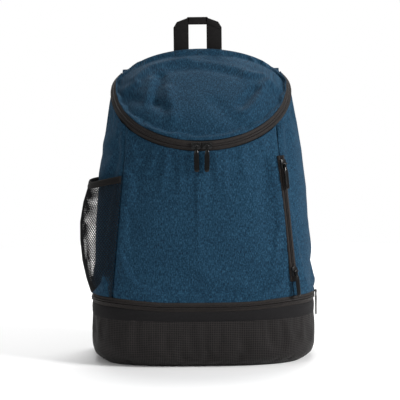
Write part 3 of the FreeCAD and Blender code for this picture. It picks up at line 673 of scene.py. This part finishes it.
# %% The lid's sheet
ROWS_LID, COLUMNS_LID = 48, 64
lid_edge = crown_reach((TAPE - TUCK) * math.cos(TILT)) - 1.0 * MM
rim_turn = math.radians(111)
turns = np.linspace(-rim_turn, rim_turn, COLUMNS_LID)
rim_x = lid_edge * np.sin(turns)
rim_depth = np.where(np.cos(turns) >= 0, lid_edge, lid_edge * LID_REAR / LID_RADIUS)
rim_y = -rim_depth * np.cos(turns)
hinge_x = np.linspace(rim_x[0], rim_x[-1], COLUMNS_LID) * 0.995
hinge_along = along_at_y(hinge_x, HINGE_Y)
lid_cloth = cloth_sheet("lid_cloth", np.array([
    lid_point(lerp(rim_x, hinge_x, up), lerp(rim_y, hinge_along, up), CLOTH_OUT)
    for up in np.linspace(0, 1, ROWS_LID)]))
pucker(lid_cloth, ROWS_LID, COLUMNS_LID, 14 * MM, 1.0 * MM, 11 * MM, 2.2)
pin_edges(lid_cloth, ROWS_LID, COLUMNS_LID)
print("lid moved up to", settle(lid_cloth, pressure=0.4, slack=0.035, cap=8 * MM, gravity=0.8))
LID_FOLDS = [
    (4.2, 6.9, [(-94, 3), (-72, 24), (-39, 31), (-20, 34)]), (-5.7, 6.9, [(-57, 1), (-61, -25), (-66, -51)]),
    (-4.6, 6.9, [(-66, -51), (-49, -68)]), (3.8, 6.9, [(-70, -8), (-75, -45)]),
    (4.2, 6.9, [(-47, -30), (-39, -84)]), (3.8, 5.8, [(-108, -13), (-92, -8)]),
    (-3.8, 8.0, [(-102, -32), (-88, -42)]), (4.9, 6.9, [(92, -10), (84, -30), (76, -53), (62, -73)]),
    (-5.3, 6.9, [(77, -28), (68, -42), (58, -60)]), (3.4, 5.8, [(62, 3), (90, 5), (106, -14)]),
    (-3.0, 9.2, [(-40, 12), (0, 16), (48, 2)]), (2.7, 8.0, [(-10, 27), (30, 18), (62, 10)]),
    (-2.7, 10.3, [(20, -60), (44, -88)])]
lid_places = vertex_places(lid_cloth) - LID_CENTRE
lid_flat = np.stack([lid_places[:, 0], lid_places @ LID_SLOPE], axis=-1)
press_folds(lid_cloth, lid_flat, LID_FOLDS)
thicken(lid_cloth, CLOTH_THICK)
soften(lid_cloth)
dress(lid_cloth, melange, "lid", "blue_melange", "lid_shell")

# %% The top gusset, and its apron down to the back panel
GUSSET_REACH = LID_RADIUS * 0.955
APRON_FOOT = 396 * MM
gusset_rows = []
for up in np.linspace(0, 1, 8):
    y = lerp(HINGE_Y + 0.4 * MM, BACK_Y - 0.5 * MM, up)
    edge_x = solve(lambda x: np.hypot(x, along_at_y(x, y) * LID_RADIUS / LID_REAR) - GUSSET_REACH,
                   0.0, LID_RADIUS)
    across = np.linspace(-1, 1, 40) * float(edge_x)
    gusset_rows.append(lid_point(across, along_at_y(across, y), CLOTH_OUT - 0.4 * MM))
for down in np.linspace(0.15, 1, 8):
    apron = gusset_rows[7].copy()
    apron[:, 1] = BACK_Y - 0.7 * MM
    apron[:, 2] = lerp(apron[:, 2], APRON_FOOT, down)
    gusset_rows.append(apron)
top_gusset = cloth_sheet("top_gusset_cloth", np.array(gusset_rows))
thicken(top_gusset, CLOTH_THICK)
soften(top_gusset)
dress(top_gusset, melange, "pack", "blue_melange", "top_gusset")

# %% [markdown]
# ## The shoe base
# The base wall is one long piece of net-faced cloth that runs round from back corner to back
# corner, with a smooth band sewn on under the zip. The piping closes it onto the bottom pan.

# %% Base wall, smooth band and piping
BAND_Z = ZIP_Z - 19 * MM
BASE_THICK = 1.2 * MM
DRAW_TOP, FOOT_TOP = 45 * MM, 9.4 * MM


def base_point(turn, height, out):
    """A point on the base's wall, which draws in gently below and rounds under at the foot."""
    draw = 6 * MM * np.clip((DRAW_TOP - height) / (DRAW_TOP - FOOT_TOP), 0, 1) ** 1.5
    draw += 9 * MM * np.clip((FOOT_TOP - height) / FOOT_TOP, 0, 1) ** 1.3
    point = skin(0.0, turn, out - draw)
    return np.array([point[0], point[1], height])


base_end = float(back_turn(0.0))


def even_turns(count, end):
    """Turns at even distances along the base's outline."""
    fine = np.linspace(-end, end, 721)
    run = lengths_along(skin(0.0, fine), 0)
    return np.interp(np.linspace(0, run[-1], count), run, fine)


def base_sheet(name, low, high, columns, rows, bulge, seed, material, out=0.6 * MM):
    grid = []
    for up in np.linspace(0, 1, rows):
        row = []
        for turn in even_turns(columns, base_end):
            height = lerp(low, high + float(corner_rise(turn)), up)
            swell = bulge * math.sin(math.pi * up) ** 0.7
            ripple = 1.1 * MM * noise.noise(Vector((turn * 6, up * 2.5, seed))) * math.sin(math.pi * up)
            row.append(base_point(turn, height, out + swell + ripple))
        grid.append(row)
    piece = cloth_sheet(name, np.array(grid))
    dress(piece, material, "base", "black_ripstop")
    return piece


WALL_ROWS, WALL_COLUMNS = 22, 132
base_wall = base_sheet("base_wall_cloth", 0.8 * MM, BAND_Z, WALL_COLUMNS, WALL_ROWS, 2.0 * MM, 1.5,
                       base_cloth)
pin_edges(base_wall, WALL_ROWS, WALL_COLUMNS)
print("base moved up to", settle(base_wall, pressure=0.5, slack=0.025, cap=4 * MM, gravity=0.5))
thicken(base_wall, BASE_THICK)
soften(base_wall)
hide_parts("base_front_wall", "base_left_wall", "base_right_wall")
base_band = base_sheet("base_band_cloth", BAND_Z - 1 * MM, ZIP_Z - TAPE + TUCK, WALL_COLUMNS, 6, 0.6 * MM,
                       8.5, smooth_black, 1.2 * MM)
thicken(base_band, BASE_THICK)
soften(base_band)

# %% [markdown]
# ## Zips
# These are coil zips sewn in the other way round, so the coil hides behind the tape and only a
# ribbed ridge shows on each side of the gap. Each half is two swept profiles: the flat tape and
# the ridge along its inner edge.


# %% The seams that the zips follow
def lid_rim(turn, height, out):
    """A point on the lid zip's cone, as a height over its plane and a distance out."""
    radius = LID_RADIUS - height * math.tan(TILT) + out / math.cos(TILT)
    depth = radius if math.cos(turn) >= 0 else radius * LID_REAR / LID_RADIUS
    return (LID_CENTRE + radius * math.sin(turn) * np.array([1, 0, 0]) - depth * math.cos(turn) * LID_SLOPE
            + height * LID_AXIS)


def base_rim(turn, height, out):
    return base_point(turn, ZIP_Z + height + float(corner_rise(turn)), out)


def pocket_rim(run, height, out):
    return pocket_start + run * pocket_up + height * pocket_across + out * pocket_out


def tape_profile(side, lean, depth):
    near, far = 0.2 * MM, TAPE * lean
    return [(side * near, depth), (side * near, 0.75 * MM), (side * far * 0.5, 0.9 * MM),
            (side * far, 0.85 * MM), (side * far, depth)]


def ridge_profile(side, lean):
    near, far, top = 0.25 * MM, 2.6 * MM * lean, 2.5 * MM
    return [(side * near, 0.8 * MM), (side * near, 2.0 * MM), (side * lerp(near, far, 0.25), top),
            (side * lerp(near, far, 0.7), top), (side * far, 1.7 * MM), (side * far, 0.8 * MM)]


def sew_zip(label, place, stations, sides, lean=1.0, depth=0.1 * MM):
    for side, body in sides:
        tape = strip(f"{label}_tape_{body}_{side + 1}", place, stations, tape_profile(side, lean, depth))
        ridge = strip(f"{label}_ridge_{body}_{side + 1}", place, stations, ridge_profile(side, lean))
        dress(tape, tape_brown, body, "zip_tape")
        dress(ridge, coil_brown, body, "zip_coil")
        part = "_upper" if side > 0 else "_lower"
        if label == "pocket_zip":
            part = ""
        if part or side > 0:
            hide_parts(f"{label}_tape{part}")
            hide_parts(f"{label}_chain{part}")


lid_end = math.radians(112)
sew_zip("lid_zip", lid_rim, np.linspace(-lid_end, lid_end, 181), ((1, "lid"), (-1, "pack")), math.cos(TILT))
zip_end = float(solve(lambda turn: skin(0.0, turn)[..., 1] - (BACK_Y - 25 * MM), 1.2, 3.1))
sew_zip("base_zip", base_rim, even_turns(181, zip_end), ((1, "pack"), (-1, "base")))
sew_zip("pocket_zip", pocket_rim, np.linspace(0, pocket_length, 60), ((1, "pack"), (-1, "pack")),
        0.8, -4.5 * MM)
print("pocket zip", round(pocket_length, 3))

SEAM_Z = 7.5 * MM
piping_ring = [(1.0 * MM * math.sin(angle), 0.5 * MM + 0.9 * MM * math.cos(angle))
               for angle in np.linspace(0, 2 * math.pi, 9)[:-1]]
piping = strip("piping_cord", lambda turn, height, out: base_point(turn, SEAM_Z + height, out),
               even_turns(181, zip_end), piping_ring)
dress(piping, smooth_black, "base", "binding", "base_piping")

# %% [markdown]
# ## Sliders and pulls
# A slider is a small cast shield with an arch on its back. The long pull is moulded round a cord
# eye: narrow at the neck, a little waisted, and glossy enough to catch one bright line of light.


# %% Frames and lofted bars
def axes_matrix(origin, along, across, out):
    matrix = Matrix.Identity(4)
    for column, axis in enumerate((along, across, out)):
        for row in range(3):
            matrix[row][column] = axis[row]
    for row in range(3):
        matrix[row][3] = origin[row]
    return matrix


def loft(name, stations, sides=16):
    """Rings of (place along Y, half width, half thickness, centre height) joined into a bar."""
    power = 2.6
    points = []
    for y, half_x, half_z, z in stations:
        for side in range(sides):
            angle = 2 * math.pi * side / sides
            c, s = math.cos(angle), math.sin(angle)
            roundness = (abs(c) ** power + abs(s) ** power) ** (1 / power)
            points.append((half_x * c / roundness, y, z + half_z * s / roundness))
    return closed_solid(name, points, ring_faces(len(stations), sides))


def plate(name, outline, low, high, bevel):
    """A flat plate from an outline, with rounded edges."""
    points = [(x, y, z) for z in (low, high) for x, y in outline]
    piece = closed_solid(name, points, ring_faces(2, len(outline)))
    layer = piece.modifiers.new("rounded", "BEVEL")
    layer.width = bevel
    layer.segments = 3
    layer.limit_method = "ANGLE"
    return piece


def round_curve(name, radius, resolution):
    curve = bpy.data.curves.new(name, "CURVE")
    curve.dimensions = "3D"
    curve.bevel_depth = radius
    curve.bevel_resolution = resolution
    return curve


def mesh_from_curve(name, curve):
    shape = bpy.data.objects.new(name + "_curve", curve)
    piece = put(name, bpy.data.meshes.new_from_object(shape))
    bpy.data.objects.remove(shape)
    return piece


def tube(name, path, radius):
    """A round wire through a few points of a smooth path."""
    curve = round_curve(name, radius, 2)
    curve.use_fill_caps = True
    line = curve.splines.new("NURBS")
    line.points.add(len(path) - 1)
    for point, place in zip(line.points, path):
        point.co = (*place, 1)
    line.order_u = 3
    line.use_endpoint_u = True
    line.resolution_u = 8
    piece = mesh_from_curve(name, curve)
    piece.data.polygons.foreach_set("use_smooth", [True] * len(piece.data.polygons))
    return piece


def join(name, members):
    """One object from several, with their modifiers applied."""
    graph = bpy.context.evaluated_depsgraph_get()
    whole = bmesh.new()
    for member in members:
        baked = bpy.data.meshes.new_from_object(member.evaluated_get(graph))
        baked.transform(member.matrix_world)
        whole.from_mesh(baked)
    mesh = bpy.data.meshes.new(name)
    whole.to_mesh(mesh)
    whole.free()
    for member in members:
        bpy.data.objects.remove(member)
    return put(name, mesh)


# %% One slider and one pull
BAR_RISE = 6.8 * MM
PLATE_LOW, PLATE_TOP = 3.0 * MM, 4.3 * MM
SHIELD = [(-7, -3.2), (-5.5, -4.6), (2.5, -4.8), (5.5, -4.0), (7, -2.0), (7, 2.0), (5.5, 4.0), (2.5, 4.8),
          (-5.5, 4.6), (-7, 3.2)]
FLANGE = [(-6.6, 3.2), (-6.6, 4.6), (6.0, 4.6), (6.8, 3.2)]
ARCH_FOOT = PLATE_TOP / MM - 0.4
ARCH = [(-4.1, ARCH_FOOT), (-4.0, 6.4), (-2.8, 6.9), (0, 6.9), (2.8, 6.9), (4.0, 6.4), (4.1, ARCH_FOOT)]


def cast_slider(name, matrix, flanges, across_chain):
    outline = [(x * MM, y * MM) for x, y in SHIELD]
    members = [plate(name + "_shield", outline, PLATE_LOW, PLATE_TOP, 0.45 * MM)]
    for side in flanges:
        edge = [(x * MM, side * y * MM) for x, y in FLANGE]
        members.append(plate(name + "_flange", edge, 1.2 * MM, PLATE_LOW + 0.2 * MM, 0.3 * MM))
    members.append(tube(name + "_arch", [(x * MM, 0, z * MM) for x, z in ARCH], 0.85 * MM))
    if across_chain:
        members[-1].rotation_euler.z = math.pi / 2
    bpy.context.view_layer.update()
    piece = join(name + "_cast", members)
    piece.data.transform(matrix)
    dress(piece, slider_paint, name, "slider_metal", name)


PULL_RINGS = [(1.9, 1.4, 0.5), (1.2, 2.1, 1.3), (-1.0, 2.2, 1.6), (-3.5, 1.7, 1.1), (-6.0, 1.8, 1.05),
              (-7.5, 2.6, 1.3), (-10.5, 3.6, 1.4), (-15, 3.8, 1.35), (-22, 3.5, 1.15), (-29, 3.7, 1.2),
              (-33.5, 3.6, 1.25), (-35.4, 2.6, 0.9), (-36, 1.5, 0.4)]


def moulded_pull(name, matrix, material):
    rings = [(y * MM, x * MM, z * MM, BAR_RISE) for y, x, z in PULL_RINGS]
    piece = loft(name + "_moulded", rings)
    piece.data.transform(matrix)
    soften(piece)
    dress(piece, material, name, "pull_plastic", name)


def slider_matrix(slider_name, pull_name):
    """The slider's axes and the pull's, worked out from their joints."""
    bar = joint_place(pull_name + "_swing")
    pull_along = -joint_axis(pull_name + "_swing")
    if slider_name.startswith("lid"):
        radial = bar - LID_CENTRE
        radial -= LID_AXIS * (radial @ LID_AXIS)
        radial /= np.linalg.norm(radial)
        along = np.cross(LID_AXIS, radial)
        out = radial * math.cos(TILT) + LID_AXIS * math.sin(TILT)
    elif slider_name.startswith("base"):
        along, out = pull_along, np.array([1.0, 0, 0])
    else:
        along = joint_axis(slider_name + "_travel")
        out = pocket_out
        pull_along = np.cross(along, out)
    foot = bar - BAR_RISE * out
    return (axes_matrix(foot, along, np.cross(out, along), out),
            axes_matrix(foot, pull_along, np.cross(out, pull_along), out))


BAR = Vector((0, 0, BAR_RISE))
LIFT = Matrix.Translation(BAR) @ Matrix.Rotation(math.radians(-2.5), 4, "X") @ Matrix.Translation(-BAR)
for slider_name, pull_name, flanges in (
        ("lid_slider_left", "lid_pull_left", (1,)), ("lid_slider_right", "lid_pull_right", (1,)),
        ("base_slider", "base_pull", (-1,)), ("pocket_slider_upper", "pocket_pull_upper", (-1, 1)),
        ("pocket_slider_lower", "pocket_pull_lower", (-1, 1))):
    on_pocket, on_lid = slider_name.startswith("pocket"), slider_name.startswith("lid")
    place, hang = slider_matrix(slider_name, pull_name)
    cast_slider(slider_name, place, flanges, on_pocket)
    finish = pull_rubber if slider_name.startswith("base") else pull_gloss
    moulded_pull(pull_name, hang @ LIFT if on_lid else hang, finish)

# %% [markdown]
# ## The bottle net
# The pocket is a knitted net that stretches over a bottle. It is made of single cords, each one
# zigzagging up the pocket and touching its neighbours at every turn, with an elastic binding on top.

# %% Net and binding
NET_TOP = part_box("bottle_pocket_binding")[0][2]
NET_FOOT = ZIP_Z + 9 * MM


def circle_through(front, middle, rear, ways):
    """Points on the arc through three points of one level."""
    a, b, c = (complex(*point[:2]) for point in (front, middle, rear))
    w = (c - a) / (b - a)
    centre = (b - a) * (w - abs(w) ** 2) / (2j * w.imag) + a
    start, end = np.angle(a - centre), np.angle(c - centre)
    if end > start:
        end -= 2 * math.pi
    angles = lerp(start, end, ways)
    ring = centre + abs(a - centre) * np.exp(1j * angles)
    return ring.real, ring.imag


def seam_share(height):
    """How far up the pack its seam passes a height."""
    return float(solve(lambda share: skin(share, -seam_turn(share))[..., 2] - height, 0.0, 1.0, 24))


NET_LEVELS = np.linspace(NET_FOOT, NET_TOP + 14 * MM, 24)
NET_FRONTS = np.array([skin(share, -seam_turn(share)) for share in map(seam_share, NET_LEVELS)])
BULGE_LEVELS = np.array([0, 20, 45, 75, 100, 128, 152, 166]) * MM + NET_FOOT
BULGES = np.array([2, 8, 13.5, 16.5, 17, 13, 6, 3]) * MM


def net_point(way, height, out=0.0):
    """A point on the net, from its front seam to its back edge."""
    share = (height - ZIP_Z) / (300 * MM)
    half = HALF_WIDTH - (HALF_WIDTH - LID_RADIUS) * max(share, 0) ** NARROWING
    bulge = np.interp(height, BULGE_LEVELS, BULGES) + out
    front = [np.interp(height, NET_LEVELS, NET_FRONTS[:, axis]) for axis in (0, 1)]
    front = (front[0] - 1.5 * MM - out * 0.7, front[1] - 1.5 * MM - out * 0.7)
    rear = (-half + 4 * MM, BACK_Y - 14 * MM)
    middle = (-half - bulge, -4 * MM)
    return np.array([*circle_through(front, middle, rear, way), height])


print("net mouth", net_point(0.0, NET_TOP).round(3), net_point(0.5, NET_TOP).round(3))
STRANDS, KNOTS = 64, 60


def mouth_height(way):
    """The elastic mouth sits higher at the front seam than at the side."""
    return NET_TOP + lerp(6 * MM, -7 * MM, min(1.0, way / 0.45))


net_curve = round_curve("bottle_net", 0.58 * MM, 0)
for strand in range(STRANDS):
    line = net_curve.splines.new("POLY")
    line.points.add(2 * KNOTS)
    for knot in range(2 * KNOTS + 1):
        lean = 0.5 if (knot // 2) % 2 == strand % 2 else -0.5
        way = min(max((strand + 0.5 + lean) / STRANDS, 0), 1)
        height = lerp(NET_FOOT, mouth_height(way) + 1 * MM, knot / (2 * KNOTS))
        line.points[knot].co = (*net_point(way, height, -0.8 * MM), 1)
bottle_net = mesh_from_curve("bottle_net", net_curve)
dress(bottle_net, net_cord, "pack", "net", "bottle_pocket_net")

binding = strip("bottle_binding", lambda way, height, out: net_point(way, mouth_height(way) + height, out),
                np.linspace(0, 1, 41),
                [(0, -0.6 * MM), (0, 0.7 * MM), (2 * MM, 1.4 * MM), (5 * MM, 1.2 * MM), (8 * MM, 1.4 * MM),
                 (9.8 * MM, 0.7 * MM), (9.8 * MM, -0.6 * MM)])
dress(binding, webbing_black, "pack", "binding", "bottle_pocket_binding")

# %% [markdown]
# ## The haul loop
# The loop is one length of webbing. Over the hand it is folded in half and stitched, and at each
# shoulder the fold opens out along a diagonal, so the legs stand flat at full width.

# %% Legs, shoulders and grip of the loop
loop_low, loop_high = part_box("haul_loop")
LOOP_Y = (loop_low[1] + loop_high[1]) / 2
LOOP_FOOT, LEG = 431 * MM, 22 * MM
loop_top = loop_high[2]
loop_middle, half_span = (loop_low[0] + loop_high[0]) / 2, (loop_high[0] - loop_low[0]) / 2
loop_parts = []


def web_plate(name, outline, front, back, bevel):
    """An upright plate at the loop's place, from an outline seen from the front."""
    piece = plate(name, outline, front - LOOP_Y, back - LOOP_Y, bevel)
    piece.data.transform(Matrix(((1, 0, 0, 0), (0, 0, -1, 0), (0, 1, 0, 0), (0, 0, 0, 1))))
    loop_parts.append(piece)


def below_top(drop):
    return loop_top - drop * MM


for side in (-1, 1):
    outer, inner = loop_middle + side * half_span, loop_middle + side * (half_span - LEG)
    leg = [(outer, LOOP_FOOT), (outer, below_top(17)), (inner, below_top(9)), (inner, LOOP_FOOT)]
    web_plate(f"loop_leg_{side + 1}", leg, -0.6 * MM, 0.8 * MM, 0.4 * MM)
    fold = [(outer, below_top(19)), (outer, below_top(15)), (outer - side * 5 * MM, below_top(7)),
            (inner, below_top(0.6)), (inner - side * 2 * MM, below_top(0.2)), (inner, below_top(10))]
    web_plate(f"loop_fold_{side + 1}", fold, -0.1 * MM, 1.5 * MM, 0.6 * MM)
grip_half = half_span - LEG + 2 * MM
grip_left, grip_right = loop_middle - grip_half, loop_middle + grip_half
grip = [(grip_left, below_top(11)), (grip_right, below_top(11)), (grip_right, loop_top), (grip_left, loop_top)]
web_plate("loop_grip", grip, -1.5 * MM, 1.5 * MM, 1.2 * MM)
bpy.context.view_layer.update()
haul_loop = join("haul_loop_webbing", loop_parts)
webbing_plain = woven_black("webbing_plain", *WEBBING, by_uv=False)
dress(haul_loop, webbing_plain, "pack", "webbing", "haul_loop")

# %% [markdown]
# ## Pads and straps behind
# Foam pads are cut flat and puff between their seams once they are covered. Each CAD pad is
# copied, remeshed finely and blown up a little by Cloth, which rounds it as foam in a sewn cover.


# %% Foam pads
def stuffed(node, body, material, slot_name):
    source = frame["nodes"][node]
    mesh = source.data.copy()
    mesh.transform(source.matrix_world)
    piece = put(node + "_padded", mesh)
    low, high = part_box(node)
    centre = (Vector(low) + Vector(high)) / 2
    for vertex in mesh.vertices:
        vertex.co = centre + (vertex.co - centre) * 0.985
    remesh = piece.modifiers.new("remesh", "REMESH")
    remesh.mode = "VOXEL"
    remesh.voxel_size = 4 * MM
    graph = bpy.context.evaluated_depsgraph_get()
    fine = bpy.data.meshes.new_from_object(piece.evaluated_get(graph))
    piece.modifiers.clear()
    piece.data = fine
    group = piece.vertex_groups.new(name="seam")
    for vertex in fine.vertices:
        side = min(vertex.co.x - low[0], high[0] - vertex.co.x, vertex.co.z - low[2], high[2] - vertex.co.z)
        group.add([vertex.index], 1.0 if side < 3 * MM else 0.0, "REPLACE")
    moved = settle(piece, pressure=3.0, slack=0.0, cap=3 * MM, frames=12, gravity=0.0)
    fine.polygons.foreach_set("use_smooth", [True] * len(fine.polygons))
    soften(piece)
    dress(piece, material, body, slot_name, node)
    print(node, "puffed", round(moved * 1000, 1), "mm")


for node in ("back_pad_left", "back_pad_right", "lumbar_pad"):
    stuffed(node, "pack", spacer_mesh, "spacer_mesh")
strap_cloth = woven_black("strap_cloth", (0.010, 0.010, 0.011), 0.9 * MM, 0.12 * MM, by_uv=False)
stuffed("strap_yoke", "pack", strap_cloth, "strap_cloth")
for hand in ("left", "right"):
    stuffed(f"shoulder_strap_{hand}", f"strap_{hand}", strap_cloth, "strap_cloth")

# %% Frame parts that keep their CAD shape
for material, names in (
        (lining_cloth, ("divider_floor", "front_pocket_lining", "racket_sleeve")),
        (spacer_mesh, ("back_panel", "base_back_wall")),
        (board_plastic, ("frame_sheet", "base_board")),
        (strap_cloth, ("base_bottom", "strap_anchor_left", "strap_anchor_right")),
        (webbing_plain, ("strap_webbing_upper_left", "strap_webbing_upper_right",
                         "strap_webbing_lower_left", "strap_webbing_lower_right")),
        (lock_plastic, ("ladder_lock_left", "ladder_lock_right"))):
    for name in names:
        wear(frame["nodes"][name], material)

# %% [markdown]
# ## Studio
# A white table under broad, soft lamps leaves only a faint shadow at the foot. The camera stands
# well back with a long lens, a little above the bag's middle.

# %% Floor and surroundings
TABLE = 1.15
around = np.linspace(0, 2 * math.pi, 65)[:-1]
floor = mesh_object("studio_floor", [(TABLE * math.cos(turn), TABLE * math.sin(turn), 0) for turn in around],
                    [tuple(range(64))], smooth=False)
wear(floor, blank_material("studio_white", (0.95, 0.95, 0.95), 0.9)[0])

world = bpy.data.worlds.new("studio")
bpy.context.scene.world = world
world.use_nodes = True
nodes, links = world.node_tree.nodes, world.node_tree.links
dome, backdrop = nodes["Background"], nodes.new("ShaderNodeBackground")
dome.inputs["Color"].default_value = (1, 1, 1, 1)
dome.inputs["Strength"].default_value = 0.36
backdrop.inputs["Color"].default_value = (1, 1, 1, 1)
seen, choice = nodes.new("ShaderNodeLightPath"), nodes.new("ShaderNodeMixShader")
links.new(seen.outputs["Is Camera Ray"], choice.inputs["Fac"])
links.new(dome.outputs["Background"], choice.inputs[1])
links.new(backdrop.outputs["Background"], choice.inputs[2])
links.new(choice.outputs["Shader"], nodes["World Output"].inputs["Surface"])


# %% Lamps
def soft_lamp(name, place, target, width, power):
    lamp = bpy.data.lights.new(name, "AREA")
    lamp.shape = "RECTANGLE"
    lamp.size = width
    lamp.size_y = width * 0.7
    lamp.energy = power
    holder = put(name, lamp)
    holder.location = place
    holder.rotation_euler = (Vector(target) - Vector(place)).to_track_quat("-Z", "Y").to_euler()


soft_lamp("key", (1.75, -0.85, 1.0), (0, 0, 0.22), 0.6, 52)
soft_lamp("fill", (-1.3, -1.8, 0.9), (0, 0, 0.2), 1.1, 10)
soft_lamp("top", (0.0, 1.1, 2.0), (0, 0.5, 0.0), 1.7, 40)

# %% Camera
FIELD = 0.571
DISTANCE = 2.8
ELEVATION = math.radians(7)
target = Vector((-0.003, 0.0, 0.227))
camera = bpy.data.cameras.new("camera")
camera.sensor_width = 36
camera.lens = camera.sensor_width * DISTANCE / FIELD
camera.clip_end = 50
holder = put("camera", camera)
holder.location = target + Vector((0, -math.cos(ELEVATION), math.sin(ELEVATION))) * DISTANCE
aim = (target - holder.location).to_track_quat("-Z", "Y").to_matrix().to_4x4()
roll = Matrix.Rotation(math.radians(-0.6), 4, "Z")
holder.rotation_euler = (aim @ roll).to_euler()
bpy.context.scene.camera = holder
bpy.context.scene.view_settings.view_transform = "Standard"
